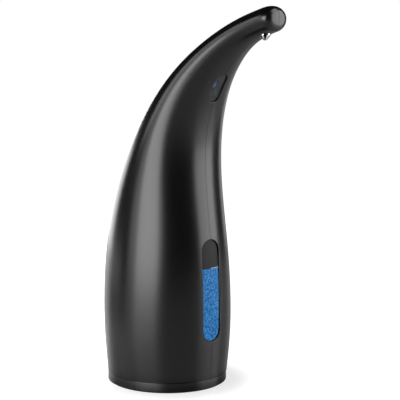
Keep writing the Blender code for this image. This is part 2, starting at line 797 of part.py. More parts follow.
def control_parts():
    """Bezel with two buttons in the back, and the board that it holds behind them."""
    bezel = skin_patch("control_bezel", PANEL_SHARE, BACK, PANEL_LENGTH * 0.62, 0, WALL)
    outline = slot_prism("bezel_outline", PANEL_FRAME, PANEL_LENGTH - 2 * GAP, PANEL_WIDTH - 2 * GAP,
                         2 * WALL)
    combine(bezel, "INTERSECT", outline)
    board_top = -CONTROL_BOARD_DEPTH
    leg_x, leg_y = PANEL_WIDTH * 0.32, PANEL_LENGTH * 0.38
    leg = BARB_RADIUS / 2
    for x in (-leg_x, leg_x):
        for y in (-leg_y, leg_y):
            join(bezel, rod("bezel_leg", leg, (x, y, board_top + GAP), (x, y, -WALL * 0.8), 6,
                            PANEL_FRAME))
    half = BUTTON_SPACING / 2
    for y in (-half, half):
        cut(bezel, rod("button_hole", BUTTON_RADIUS + GAP, (0, y, -3 * WALL), (0, y, 2 * WALL),
                       ROUND_SIDES, PANEL_FRAME))
    dress(bezel, (0.012, 0.012, 0.013), 0.25)

    width, length = PANEL_WIDTH - WALL, PANEL_LENGTH - WALL
    board = block("control_board", (-width / 2, -length / 2, board_top - BOARD_THICKNESS),
                  (width / 2, length / 2, board_top), PANEL_FRAME)
    dress(board, (0.02, 0.16, 0.06), 0.4)

    for name, y in (("plus", half), ("minus", -half)):
        side = SWITCH_SIDE / 2
        base = board_top + GAP
        switch = block(name + "_switch", (-side, y - side, base), (side, y + side, base + SWITCH_HEIGHT),
                       PANEL_FRAME)
        dress(switch, (0.05, 0.05, 0.05), 0.5)
        stem_end = base + SWITCH_HEIGHT + BUTTON_TRAVEL + GAP / 2
        flange_top = -WALL - BUTTON_RADIUS ** 2 / (2 * BASE_RADIUS) - 3 * GAP
        flange = BUTTON_RADIUS + 2.5 * GAP
        edge = BUTTON_RISE / 2
        profile = [(0, BUTTON_RISE), (BUTTON_RADIUS - edge, BUTTON_RISE),
                   (BUTTON_RADIUS, BUTTON_RISE - edge), (BUTTON_RADIUS, flange_top),
                   (flange, flange_top), (flange, flange_top - 2 * GAP),
                   (BUTTON_RADIUS / 3, flange_top - 2 * GAP), (BUTTON_RADIUS / 3, stem_end),
                   (0, stem_end)]
        button = turned(name + "_button", profile, 16, PANEL_FRAME)
        button.location = (0, y, 0)
        dress(button, (0.10, 0.10, 0.11), 0.35)


def gear_outline(teeth, module, points, phase=0.0):
    """Involute outline with stub teeth. A tooth lies on +X, turned on by phase degrees."""
    pitch = teeth * module / 2
    pressure = math.radians(PRESSURE_ANGLE)
    base = pitch * math.cos(pressure)
    tip = pitch + ADDENDUM_SHARE * module
    root = pitch - DEDENDUM_SHARE * module
    foot = max(base, root)

    def half_angle(radius):
        slope = math.acos(min(base / radius, 1))
        involute = math.tan(slope) - slope
        return (math.pi / (2 * teeth) - BACKLASH_SHARE * module / (2 * pitch)
                + math.tan(pressure) - pressure - involute)

    flank = [(foot + (tip - foot) * i / (points - 1)) for i in range(points)]
    side = [(root, half_angle(foot))] if root < foot - 1e-6 else []
    side += [(radius, half_angle(radius)) for radius in flank]
    outline = []
    for tooth in range(teeth):
        middle = 2 * math.pi * tooth / teeth + math.radians(phase)
        for radius, angle in side:
            outline.append((radius * math.cos(middle - angle), radius * math.sin(middle - angle)))
        for radius, angle in reversed(side):
            outline.append((radius * math.cos(middle + angle), radius * math.sin(middle + angle)))
    return outline


def upright(obj, x, y, z):
    """Stands a plate up, square to Y, at a place."""
    obj.rotation_euler = (math.pi / 2, 0, 0)
    obj.location = (x, y, z)
    return obj


# The machine bay: heights and places that its pieces share
CENTRE_DISTANCE = (SPUR_TEETH + PINION_TEETH) * GEAR_MODULE / 2
ROTOR_DISTANCE = ROTOR_TEETH * PUMP_MODULE
PUMP_HEIGHT = MOTOR_AXIS_HEIGHT + CENTRE_DISTANCE
IDLER_X = MOTOR_AXIS_X - ROTOR_DISTANCE
PORT_X = (MOTOR_AXIS_X + IDLER_X) / 2
ROTOR_TIP = ROTOR_TEETH * PUMP_MODULE / 2 + ADDENDUM_SHARE * PUMP_MODULE
CHAMBER_RADIUS = ROTOR_TIP + GAP
HOUSING_RADIUS = CHAMBER_RADIUS + PUMP_WALL
PORT_RISE = CHAMBER_RADIUS * 0.68
BRACKET_FACE = MOTOR_FACE + GAP
BRACKET_END = BRACKET_FACE + BRACKET_THICKNESS
GEAR_FACE = BRACKET_END + 2 * GAP
GEAR_END = GEAR_FACE + GEAR_WIDTH
PUMP_FACE = GEAR_END + 2 * GAP
CHAMBER_FACE = PUMP_FACE + PUMP_WALL
CHAMBER_END = CHAMBER_FACE + ROTOR_WIDTH + 2 * GAP
COVER_FACE = CHAMBER_END + GAP
COVER_END = COVER_FACE + PUMP_WALL
EARS = tuple((x + reach, PUMP_HEIGHT + rise)
             for x, reach, rise in zip((MOTOR_AXIS_X, IDLER_X), EAR_REACHES, EAR_RISES))


def motor_parts():
    """Flat-sided can motor with its end cap, shaft and pinion."""
    axis = (MOTOR_AXIS_X, MOTOR_AXIS_HEIGHT)
    back = MOTOR_FACE - MOTOR_LENGTH
    can = rod("motor_can", MOTOR_RADIUS, (axis[0], back, axis[1]), (axis[0], MOTOR_FACE, axis[1]),
              ROUND_SIDES)
    flats = block("motor_flats",
                  (axis[0] - MOTOR_RADIUS - OVERRUN, back - OVERRUN, axis[1] - MOTOR_FLAT),
                  (axis[0] + MOTOR_RADIUS + OVERRUN, MOTOR_FACE + OVERRUN, axis[1] + MOTOR_FLAT))
    combine(can, "INTERSECT", flats)
    nose_end = BRACKET_END - GAP
    join(can, rod("motor_nose", NOSE_RADIUS, (axis[0], MOTOR_FACE - OVERRUN, axis[1]),
                  (axis[0], nose_end, axis[1])))
    shaft_start = MOTOR_FACE - MOTOR_LENGTH / 3
    cut(can, rod("motor_bearing", MOTOR_SHAFT_RADIUS + GAP, (axis[0], shaft_start - GAP, axis[1]),
                 (axis[0], nose_end + OVERRUN, axis[1]), 12))
    dress(can, (0.55, 0.56, 0.58), 0.3, 1.0)

    cap_end = back - GAP - PUMP_WALL
    cap = rod("motor_end_cap", MOTOR_RADIUS - GAP, (axis[0], cap_end, axis[1]),
              (axis[0], back - GAP, axis[1]), 24)
    cap_flats = block("cap_flats",
                      (axis[0] - MOTOR_RADIUS - OVERRUN, cap_end - OVERRUN,
                       axis[1] - MOTOR_FLAT + GAP),
                      (axis[0] + MOTOR_RADIUS + OVERRUN, back + OVERRUN, axis[1] + MOTOR_FLAT - GAP))
    combine(cap, "INTERSECT", cap_flats)
    dress(cap, (0.85, 0.83, 0.76), 0.5)

    shaft = rod("motor_shaft", MOTOR_SHAFT_RADIUS, (0, shaft_start, 0), (0, GEAR_END, 0), 12)
    shaft.location = (axis[0], 0, axis[1])
    dress(shaft, (0.7, 0.7, 0.72), 0.2, 1.0)
    outlines = [gear_outline(PINION_TEETH, GEAR_MODULE, 2), circle(MOTOR_SHAFT_RADIUS + GAP, 12)]
    pinion = plate("motor_pinion", outlines, GEAR_WIDTH)
    upright(pinion, axis[0], (GEAR_FACE + GEAR_END) / 2, axis[1])
    dress(pinion, (0.78, 0.60, 0.22), 0.3, 1.0)


def motor_bracket():
    """Upright plate between motor and pump, on a foot over the battery tray."""
    foot_bottom = TRAY_TOP + 2 * GAP
    foot_top = foot_bottom + BRACKET_THICKNESS
    discs = [(x, z, EAR_RADIUS) for x, z in EARS]
    discs += [(MOTOR_AXIS_X, PUMP_HEIGHT, HOUSING_RADIUS), (IDLER_X, PUMP_HEIGHT, HOUSING_RADIUS),
              (MOTOR_AXIS_X - MOTOR_RADIUS, foot_bottom + EAR_RADIUS, EAR_RADIUS),
              (MOTOR_AXIS_X + MOTOR_RADIUS, foot_bottom + EAR_RADIUS, EAR_RADIUS)]
    holes = [circle(NOSE_RADIUS + GAP, 20, (MOTOR_AXIS_X, MOTOR_AXIS_HEIGHT)),
             circle(PUMP_SHAFT_RADIUS + GAP, 12, (MOTOR_AXIS_X, PUMP_HEIGHT))]
    holes += [circle(PUMP_SCREW_RADIUS + GAP, 12, ear) for ear in EARS]
    bracket = plate("motor_bracket", [hull_outline(discs, 20)] + holes, BRACKET_THICKNESS)
    upright(bracket, 0, (BRACKET_FACE + BRACKET_END) / 2, 0)
    foot_end = MOTOR_FACE - MOTOR_LENGTH * 0.76
    left = MOTOR_AXIS_X - MOTOR_RADIUS
    right = MOTOR_AXIS_X + MOTOR_RADIUS
    join(bracket, block("bracket_foot", (left, foot_end, foot_bottom),
                        (right, BRACKET_END - GAP, foot_top)))
    saddle = MOTOR_AXIS_HEIGHT - MOTOR_FLAT - GAP
    for share in (0.25, 0.75):
        y = foot_end + (MOTOR_FACE - foot_end) * share
        join(bracket, block("bracket_saddle",
                            (left + EAR_RADIUS, y - PUMP_WALL / 2, foot_bottom + GAP),
                            (right - EAR_RADIUS, y + PUMP_WALL / 2, saddle)))
    dress(bracket, (0.10, 0.10, 0.11), 0.6)


def pump_parts():
    """Gear pump: housing, cover, two rotors on their shafts, and the spur gear that drives it."""
    discs = [(MOTOR_AXIS_X, PUMP_HEIGHT, HOUSING_RADIUS), (IDLER_X, PUMP_HEIGHT, HOUSING_RADIUS)]
    outline = hull_outline(discs)
    housing = plate("pump_housing", [outline], CHAMBER_END - PUMP_FACE)
    upright(housing, 0, (PUMP_FACE + CHAMBER_END) / 2, 0)
    for (x, z), (bx, bz) in zip(EARS, ((MOTOR_AXIS_X, PUMP_HEIGHT), (IDLER_X, PUMP_HEIGHT))):
        ear = plate("pump_ear", [hull_outline([(x, z, EAR_RADIUS), (bx, bz, EAR_RADIUS)], 16)],
                    PUMP_WALL)
        upright(ear, 0, PUMP_FACE + PUMP_WALL / 2 + GAP / 3, 0)
        post = rod("pump_post", POST_RADIUS, (x, BRACKET_END + GAP, z), (x, CHAMBER_FACE, z), 12)
        hole = rod("post_hole", PUMP_SCREW_RADIUS + GAP, (x, BRACKET_END - OVERRUN, z),
                   (x, CHAMBER_FACE + OVERRUN, z), 12)
        join(housing, ear, post)
        cut(housing, hole)
    for x in (MOTOR_AXIS_X, IDLER_X):
        cut(housing, rod("pump_chamber", CHAMBER_RADIUS, (x, CHAMBER_FACE, PUMP_HEIGHT),
                         (x, CHAMBER_END + OVERRUN, PUMP_HEIGHT), ROUND_SIDES))
    for radius, x in ((PUMP_SHAFT_RADIUS, MOTOR_AXIS_X), (IDLER_PIN_RADIUS, IDLER_X)):
        cut(housing, rod("pump_bearing", radius + GAP, (x, PUMP_FACE - OVERRUN, PUMP_HEIGHT),
                         (x, CHAMBER_FACE + OVERRUN, PUMP_HEIGHT), 12))
    for rise in (-PORT_RISE, PORT_RISE):
        z = PUMP_HEIGHT + rise
        cut(housing, rod("port_pocket", 2 * BARB_BORE_RADIUS, (PORT_X, CHAMBER_FACE, z),
                         (PORT_X, CHAMBER_END + 2 * OVERRUN, z), 12))
    dress(housing, (0.75, 0.75, 0.73), 0.5)

    cover = plate("pump_cover", [outline], PUMP_WALL)
    upright(cover, 0, (COVER_FACE + COVER_END) / 2, 0)
    for rise in (-PORT_RISE, PORT_RISE):
        z = PUMP_HEIGHT + rise
        join(cover, rod("pump_port", BARB_RADIUS, (PORT_X, COVER_FACE + GAP, z),
                        (PORT_X, COVER_END + BARB_LENGTH, z)))
        cut(cover, rod("pump_port_bore", BARB_BORE_RADIUS, (PORT_X, COVER_FACE - OVERRUN, z),
                       (PORT_X, COVER_END + BARB_LENGTH + OVERRUN, z), 12))
    dress(cover, (0.75, 0.75, 0.73), 0.5)

    rotor_middle = (CHAMBER_FACE + CHAMBER_END) / 2
    for name, x, radius, phase in (("drive_rotor", MOTOR_AXIS_X, PUMP_SHAFT_RADIUS, 0),
                                   ("idler_rotor", IDLER_X, IDLER_PIN_RADIUS, 180 / ROTOR_TEETH)):
        outlines = [gear_outline(ROTOR_TEETH, PUMP_MODULE, 2, phase), circle(radius + GAP, 10)]
        rotor = plate(name, outlines, ROTOR_WIDTH)
        upright(rotor, x, rotor_middle, PUMP_HEIGHT)
        dress(rotor, (0.85, 0.84, 0.80), 0.4)

    spur_phase = 180 / SPUR_TEETH
    spur = plate("spur_gear", [gear_outline(SPUR_TEETH, GEAR_MODULE, 2, spur_phase),
                               circle(PUMP_SHAFT_RADIUS + GAP, 12)], GEAR_WIDTH)
    upright(spur, MOTOR_AXIS_X, (GEAR_FACE + GEAR_END) / 2, PUMP_HEIGHT)
    dress(spur, (0.88, 0.86, 0.78), 0.4)
    shaft = rod("pump_drive_shaft", PUMP_SHAFT_RADIUS, (0, BRACKET_FACE, 0),
                (0, COVER_FACE - GAP, 0), 12)
    shaft.location = (MOTOR_AXIS_X, 0, PUMP_HEIGHT)
    dress(shaft, (0.7, 0.7, 0.72), 0.2, 1.0)
    pin = rod("idler_pin", IDLER_PIN_RADIUS, (IDLER_X, PUMP_FACE, PUMP_HEIGHT),
              (IDLER_X, COVER_FACE - GAP, PUMP_HEIGHT), 12)
    dress(pin, (0.7, 0.7, 0.72), 0.2, 1.0)

    for number, (x, z) in enumerate(EARS, 1):
        head = BRACKET_FACE - GAP
        screw = screw_piece(f"pump_screw_{number}", PUMP_SCREW_RADIUS,
                            CHAMBER_FACE - BRACKET_FACE)
        screw.rotation_euler = (-math.pi / 2, 0, 0)
        screw.location = (x, head, z)


def screw_piece(name, radius, length):
    """A pan-head screw that points up Z, with the underside of its head at zero."""
    head = SCREW_HEAD_RADIUS
    profile = [(0, length), (radius, length), (radius, 0), (head, 0),
               (head, -SCREW_HEAD_HEIGHT * 0.6), (head * 0.7, -SCREW_HEAD_HEIGHT),
               (0, -SCREW_HEAD_HEIGHT)]
    return dress(turned(name, profile, 8), (0.6, 0.6, 0.6), 0.3, 1.0)


def smooth_route(points, count):
    route = Spline(points)
    return [Vector(route.at(share)) for share in steps(0, 1, count)]


def tube(name, points, count):
    """A silicone tube with its bore."""
    route = smooth_route(points, count)
    piece = rod_along(name, route, TUBE_RADIUS)
    first = route[0] + (route[0] - route[1]).normalized() * OVERRUN
    last = route[-1] + (route[-1] - route[-2]).normalized() * OVERRUN
    cut(piece, rod_along(name + "_bore", [first] + route[1:-1] + [last], TUBE_BORE_RADIUS))
    dress(piece, (0.75, 0.76, 0.75), 0.35)


def crescent_point(share, side_offset, depth):
    """A point behind the tank, a depth inside the shell at a distance to one side."""
    centre, half_depth, half_width = spine(share)
    part = math.sqrt(1 - (side_offset / (half_width - WALL)) ** 2)
    return (centre - across(share) * ((half_depth - WALL) * part - depth)
            + Vector((0, side_offset, 0)))


def tubes():
    """Silicone tubes: tank to pump, and pump up through the neck to the nozzle."""
    near = BAY_FRONT - GAP
    y, z = TANK_SPIGOT_Y, TANK_SPIGOT_HEIGHT
    low_port = PUMP_HEIGHT - PORT_RISE
    high_port = PUMP_HEIGHT + PORT_RISE
    port = COVER_END + GAP
    reach = BARB_LENGTH
    tube("inlet_tube", [(near, y, z), (near - reach / 2, y, z), (near - reach, y, z),
                        (near - 2 * reach, y, z + reach / 3),
                        ((near + PORT_X) / 2 - reach, port + 2.4 * reach, (z + low_port) / 2),
                        (PORT_X + reach / 2, port + 2 * reach, low_port - reach / 3),
                        (PORT_X, port + reach, low_port), (PORT_X, port + reach / 2, low_port),
                        (PORT_X, port, low_port)], 14)
    lower = [(PORT_X, port, high_port), (PORT_X, port + reach / 2, high_port),
             (PORT_X, port + reach, high_port),
             (PORT_X - reach / 2, port + 2.1 * reach, high_port + reach / 2),
             (PORT_X - 1.7 * reach, port + 2.3 * reach, BAY_TOP),
             crescent_point(spine_share(BAY_TOP + 2.2 * reach), TUBE_SIDE + reach, TUBE_MIDDLE)]
    start = spine_share(BAY_TOP + 5 * reach)
    tank_end = spine_share(TANK_TOP + TUBE_RADIUS)
    middle = [crescent_point(share, TUBE_SIDE, TUBE_MIDDLE) for share in steps(start, tank_end, 7)]
    barb, barb_end = holder_barb()
    back = (barb_end - barb).normalized()
    tube_end = barb + back * (HOLDER_RADIUS + 4 * GAP)
    end_share = share_at(barb_end.x - reach, lambda s: Vector((0, 0, spine(s)[0].x)))
    upper = []
    for i, share in enumerate(steps(tank_end, end_share, 5)[1:], 1):
        fade = (1 - i / 5) ** 2
        upper.append(spine(share)[0].lerp(crescent_point(share, TUBE_SIDE * fade, TUBE_MIDDLE), fade))
    tube("delivery_tube", lower + middle + upper + [barb_end, tube_end], 32)


def wires():
    """Leads from cells and motor to the control board, and the sensor's cable."""
    board = PANEL_FRAME.matrix_world
    depth = -CONTROL_BOARD_DEPTH - BOARD_THICKNESS / 2
    bottom = -(PANEL_LENGTH - WALL) / 2 - GAP - WIRE_RADIUS

    def at_board(x, drop=0.0):
        return tuple(board @ Vector((x, bottom - drop, depth)))

    contact_x = CELL_LENGTH / 2 + CONTACT_ROOM / 2
    above = TRAY_TOP + 2 * GAP
    side = 1.5 * CELL_PITCH
    lead("battery_lead_red", (0.6, 0.03, 0.02),
         [(-contact_x, side, above), (-contact_x - 0.002, side - 0.001, 0.030),
          (-0.0345, 0.0125, 0.040), (-0.0362, 0.0105, 0.050), (-0.0368, 0.0090, 0.062),
          (-0.0362, 0.0070, 0.076), at_board(-0.005, 0.010), at_board(-0.005)])
    lead("battery_lead_black", (0.02, 0.02, 0.02),
         [(-contact_x, -side, above), (-contact_x - 0.002, -side + 0.001, 0.030),
          (-0.0340, -0.0130, 0.040), (-0.0362, -0.0110, 0.050), (-0.0368, -0.0095, 0.062),
          (-0.0362, -0.0070, 0.076), at_board(0.005, 0.010), at_board(0.005)])
    cap_end = MOTOR_FACE - MOTOR_LENGTH - PUMP_WALL - 3 * GAP
    lead("motor_lead_red", (0.6, 0.03, 0.02),
         [(-0.0180, cap_end, MOTOR_AXIS_HEIGHT), (-0.0195, cap_end - 0.0017, 0.0410),
          (-0.0225, -0.0295, 0.0500), (-0.0265, -0.0240, 0.0600), (-0.0295, -0.0165, 0.0700),
          (-0.0316, -0.0070, 0.0800), at_board(-0.0017, 0.008), at_board(-0.0017)])
    lead("motor_lead_black", (0.02, 0.02, 0.02),
         [(-0.0080, cap_end, MOTOR_AXIS_HEIGHT), (-0.0100, cap_end - 0.0018, 0.0420),
          (-0.0170, -0.0325, 0.0510), (-0.0225, -0.0280, 0.0620), (-0.0268, -0.0215, 0.0720),
          (-0.0306, -0.0120, 0.0820), at_board(0.0017, 0.008), at_board(0.0017)])
    sensor = SENSOR_FRAME.matrix_world
    sensor_end = sensor @ Vector((0, -(SENSOR_LENGTH / 2 + CABLE_RADIUS), -SENSOR_BOARD_DEPTH))
    start, end = spine_share(TANK_TOP + 0.010), PANEL_SHARE + 0.10
    run = [crescent_point(share, -TUBE_SIDE, TUBE_MIDDLE) for share in steps(start, end, 4)]
    top = (PANEL_LENGTH - WALL) / 2 + CABLE_RADIUS + GAP
    lead("sensor_cable", (0.02, 0.02, 0.02),
         [tuple(sensor_end), tuple(sensor_end + Vector((-0.006, -0.005, 0.002)))]
         + [tuple(point) for point in run]
         + [tuple(board @ Vector((0, top + 0.006, depth))), tuple(board @ Vector((0, top, depth)))],
         CABLE_RADIUS)


def lead(name, colour, points, radius=WIRE_RADIUS):
    dress(rod_along(name, smooth_route(points, 13), radius, 1), colour, 0.5)


def arc_block(name, inner, outer, bottom, top, middle, sweep):
    """A block bent round Z, between two radii. Its middle and sweep are angles."""
    count = 4
    start = math.radians(middle - sweep / 2)
    outline = circle(outer, count, (0, 0), start, math.radians(sweep))
    outline += reversed(circle(inner, count, (0, 0), start, math.radians(sweep)))
    piece = plate(name, [outline], top - bottom)
    piece.location.z = (bottom + top) / 2
    return piece


def base_parts():
    """Twist-off base cover with its gasket, and the rubber foot pad let into its underside."""
    inside = BASE_RADIUS - WALL - GAP
    spigot_top = LUG_BOTTOM + LUG_HEIGHT + GAP / 2
    pad = BASE_RADIUS - 2 * CHAMFER
    recess = FLOOR_HEIGHT + (FLOOR_TOP - FLOOR_HEIGHT) / 3
    profile = [(BASE_RADIUS, SEAM_HEIGHT - GAP / 2), (BASE_RADIUS, FLOOR_HEIGHT + CHAMFER),
               (BASE_RADIUS - CHAMFER, FLOOR_HEIGHT), (pad + GAP, FLOOR_HEIGHT),
               (pad + GAP, recess), (0, recess), (0, FLOOR_TOP),
               (SPIGOT_RADIUS - SPIGOT_THICKNESS, FLOOR_TOP),
               (SPIGOT_RADIUS - SPIGOT_THICKNESS, spigot_top), (SPIGOT_RADIUS, spigot_top),
               (SPIGOT_RADIUS, FLOOR_TOP), (inside, FLOOR_TOP), (inside, SEAM_HEIGHT - GAP / 2)]
    cover = turned("base_cover", profile, BASE_SIDES, closed=True)
    for i in range(LUG_COUNT):
        join(cover, arc_block("cover_lug", SPIGOT_RADIUS - SPIGOT_THICKNESS / 2,
                              SPIGOT_RADIUS + LUG_REACH, LUG_BOTTOM, LUG_BOTTOM + LUG_HEIGHT,
                              360 * i / LUG_COUNT, LUG_ANGLE))
    dress(cover, SHELL_BLACK, SATIN)

    foot = turned("foot_pad", [(0, recess - GAP), (pad, recess - GAP), (pad, 0),
                               (pad - FOOT_RIM, 0), (pad - FOOT_RIM, FOOT_GROOVE),
                               (FOOT_CENTRE, FOOT_GROOVE), (FOOT_CENTRE, 0), (0, 0)], BASE_SIDES)
    dress(foot, (0.03, 0.03, 0.03), 0.8)

    skirt_outer = BASE_RADIUS - WALL - SKIRT_CLEARANCE
    seal_low = FLOOR_TOP + GAP
    seal_high = SKIRT_BOTTOM - GAP
    seal = turned("base_seal", [(skirt_outer, seal_high), (skirt_outer, seal_low),
                                (skirt_outer - SKIRT_THICKNESS, seal_low),
                                (skirt_outer - SKIRT_THICKNESS, seal_high)], BASE_SIDES, closed=True)
    dress(seal, (0.04, 0.04, 0.04), 0.8)


def battery_tray():
    """Tray for four cells, open below, with a skirt that the base cover locks into."""
    flange = TRAY_TOP - TRAY_WALL
    skirt = BASE_RADIUS - WALL - SKIRT_CLEARANCE
    half_x = CELL_LENGTH / 2 + CONTACT_ROOM
    half_y = 2 * CELL_PITCH
    bottom = LUG_BOTTOM + LUG_HEIGHT + 2 * GAP
    tray = rod("battery_tray", skirt, (0, 0, SKIRT_BOTTOM), (0, 0, TRAY_TOP), BASE_SIDES)
    inner = skirt - SKIRT_THICKNESS
    cut(tray, rod("tray_inside", inner, (0, 0, SKIRT_BOTTOM - OVERRUN), (0, 0, flange), BASE_SIDES))
    join(tray, block("tray_box", (-half_x - TRAY_WALL, -half_y - TRAY_WALL, bottom),
                     (half_x + TRAY_WALL, half_y + TRAY_WALL, flange + GAP)))
    cut(tray, block("tray_mouth", (-half_x, -half_y, bottom - OVERRUN),
                    (half_x, half_y, CELL_HEIGHT)))
    for i in range(4):
        y = CELL_PITCH * (i - 1.5)
        cut(tray, rod("cell_trough", CELL_RADIUS + GAP, (-half_x, y, CELL_HEIGHT),
                      (half_x, y, CELL_HEIGHT), 16))
    reach = CELL_RADIUS * CONTACT_SHARE + GAP
    for side in (-1, 1):
        near, far = side * (CELL_LENGTH / 2 + GAP), side * half_x
        cut(tray, block("contact_room", (min(near, far), -half_y, bottom - OVERRUN),
                        (max(near, far), half_y, CELL_HEIGHT + reach)))
    ledge_bottom = SKIRT_BOTTOM + GAP / 2
    ledge_top = LUG_BOTTOM - GAP
    stop_sweep = LUG_ANGLE / 4
    for i in range(LUG_COUNT):
        angle = 360 * i / LUG_COUNT
        ledge = arc_block("tray_ledge", SPIGOT_RADIUS + GAP, inner + SKIRT_THICKNESS / 2,
                          ledge_bottom, ledge_top, angle, LUG_ANGLE)
        stop = arc_block("tray_stop", SPIGOT_RADIUS + GAP, inner + SKIRT_THICKNESS / 2,
                         ledge_bottom + GAP / 2, LUG_BOTTOM + LUG_HEIGHT,
                         angle - (LUG_ANGLE + stop_sweep) / 2 - 1, stop_sweep)
        join(tray, ledge, stop)
    for x in (-TRAY_SCREW_X, TRAY_SCREW_X):
        for y in (-TRAY_SCREW_Y, TRAY_SCREW_Y):
            cut(tray, rod("tray_hole", TRAY_SCREW_RADIUS + GAP, (x, y, flange - OVERRUN),
                          (x, y, TRAY_TOP + OVERRUN), 12))
    for y in (-1.5 * CELL_PITCH, 1.5 * CELL_PITCH):
        x = -CELL_LENGTH / 2 - CONTACT_ROOM / 2
        reach = CONTACT_ROOM / 2
        cut(tray, block("lead_slot", (x - reach, y - reach, CELL_HEIGHT),
                        (x + reach, y + reach, TRAY_TOP + OVERRUN)))
    dress(tray, (0.06, 0.06, 0.065), 0.55)

    number = 0
    for x in (-TRAY_SCREW_X, TRAY_SCREW_X):
        for y in (-TRAY_SCREW_Y, TRAY_SCREW_Y):
            number += 1
            screw = screw_piece(f"tray_screw_{number}", TRAY_SCREW_RADIUS,
                                TRAY_WALL + BOSS_HEIGHT - 3 * GAP)
            screw.location = (x, y, flange - GAP)


def cells():
    """Four AAA cells, turned end for end in turn."""
    body = CELL_LENGTH - CELL_NUB
    half = CELL_LENGTH / 2
    edge = CELL_NUB / 3
    profile = [(0, half), (CELL_NUB_RADIUS, half), (CELL_NUB_RADIUS, body - half),
               (CELL_RADIUS - edge, body - half), (CELL_RADIUS, body - half - edge),
               (CELL_RADIUS, -half), (0, -half)]
    for i in range(4):
        cell = turned(f"battery_cell_{i + 1}", profile, 14)
        cell.rotation_euler = (0, math.pi / 2 if i % 2 == 0 else -math.pi / 2, 0)
        cell.location = (0, CELL_PITCH * (i - 1.5), CELL_HEIGHT)
        dress(cell, (0.25, 0.27, 0.30), 0.35, 0.6)


def contacts():
    """Sprung contacts: three bridges that join neighbours, and the two end terminals."""
    first, last = -1.5 * CELL_PITCH, 1.5 * CELL_PITCH
    inner = CELL_PITCH / 2
    contact("bridge_contact_1", 1, (first, -inner), spring_at=-inner)
    contact("bridge_contact_2", -1, (-inner, inner), spring_at=inner)
    contact("bridge_contact_3", 1, (inner, last), spring_at=last)
    contact("negative_terminal", -1, (first, first), spring_at=first)
    contact("positive_terminal", -1, (last, last), spring_at=None)


def contact(name, side, span, spring_at):
    """A plate across the ends of one or two cells, with a spring for a flat end and a pip for a
    nub. Side is 1 at the front of the tray."""
    wall_x = CELL_LENGTH / 2 + CONTACT_ROOM
    back_x = side * (wall_x - GAP)
    face_x = side * (wall_x - GAP - CONTACT_THICKNESS)
    reach = CELL_RADIUS * CONTACT_SHARE
    low, high = min(back_x, face_x), max(back_x, face_x)
    piece = block(name, (low, span[0] - reach, CELL_HEIGHT - reach),
                  (high, span[1] + reach, CELL_HEIGHT + reach))
    for y in sorted(set(span)):
        if y == spring_at:
            join(piece, contact_spring(name + "_spring", side, y, face_x))
        else:
            tip_x = side * (CELL_LENGTH / 2 + GAP)
            join(piece, rod(name + "_pip", CELL_NUB_RADIUS * 0.8,
                            (side * (abs(face_x) + CONTACT_THICKNESS / 2), y, CELL_HEIGHT),
                            (tip_x, y, CELL_HEIGHT), 10))
    dress(piece, (0.75, 0.74, 0.70), 0.25, 1.0)


def contact_spring(name, side, y, face_x):
    """A coil that narrows towards the cell, its foot let into the plate."""
    steps_per_turn = 8
    count = SPRING_TURNS * steps_per_turn
    foot = abs(face_x) + CONTACT_THICKNESS / 2
    end = CELL_LENGTH / 2 + GAP + SPRING_WIRE_RADIUS
    points = []
    for i in range(count + 1):
        share = i / count
        radius = SPRING_RADIUS * (1 - 0.42 * share)
        angle = 2 * math.pi * SPRING_TURNS * share
        points.append((side * (foot + (end - foot) * share), y + radius * math.cos(angle),
                       CELL_HEIGHT + radius * math.sin(angle)))
    return rod_along(name, points, SPRING_WIRE_RADIUS, 1)


shell("left_shell", 1)
shell("right_shell", -1)
level_window()
sensor_parts()
nozzle_parts()
soap_tank()
liquid_soap()
filler_cap()
control_parts()
motor_parts()
motor_bracket()
pump_parts()
tubes()
wires()
base_parts()
battery_tray()
cells()
contacts()
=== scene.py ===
"""Automatic soap dispenser: a satin black swan-necked housing over a soap tank, a gear pump and
four AAA cells. +X points to the spout, +Y to the dispenser's left and +Z up, in metres."""
import math

import bmesh
import bpy
import numpy as np
from mathutils import Matrix, Vector
from mathutils.bvhtree import BVHTree
from mathutils.interpolate import poly_3d_calc


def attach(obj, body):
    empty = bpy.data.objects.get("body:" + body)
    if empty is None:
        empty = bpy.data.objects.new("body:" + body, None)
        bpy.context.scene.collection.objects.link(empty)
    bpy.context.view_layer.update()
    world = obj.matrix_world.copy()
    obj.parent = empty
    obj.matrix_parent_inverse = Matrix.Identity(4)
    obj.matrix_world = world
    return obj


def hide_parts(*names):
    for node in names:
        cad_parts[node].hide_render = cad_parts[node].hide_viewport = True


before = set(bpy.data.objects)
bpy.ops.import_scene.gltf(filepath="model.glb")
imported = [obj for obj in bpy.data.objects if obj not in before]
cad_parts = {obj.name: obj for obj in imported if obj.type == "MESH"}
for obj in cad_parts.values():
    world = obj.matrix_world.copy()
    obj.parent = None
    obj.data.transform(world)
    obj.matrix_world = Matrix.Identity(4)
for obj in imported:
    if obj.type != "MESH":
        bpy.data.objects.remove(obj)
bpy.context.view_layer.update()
scene = bpy.context.scene
scene.view_settings.view_transform = "Standard"


# Camera
# Seen from the front right, a little above the spout's height.
CAMERA_PLACE = (0.54933, -0.54491, 0.20325)
CAMERA_YAW = math.radians(43.6520)
CAMERA_PITCH = math.radians(5.9733)
CAMERA_ROLL = math.radians(0.466)
FOCAL_LENGTH = 104.4
FILM_WIDTH = 36

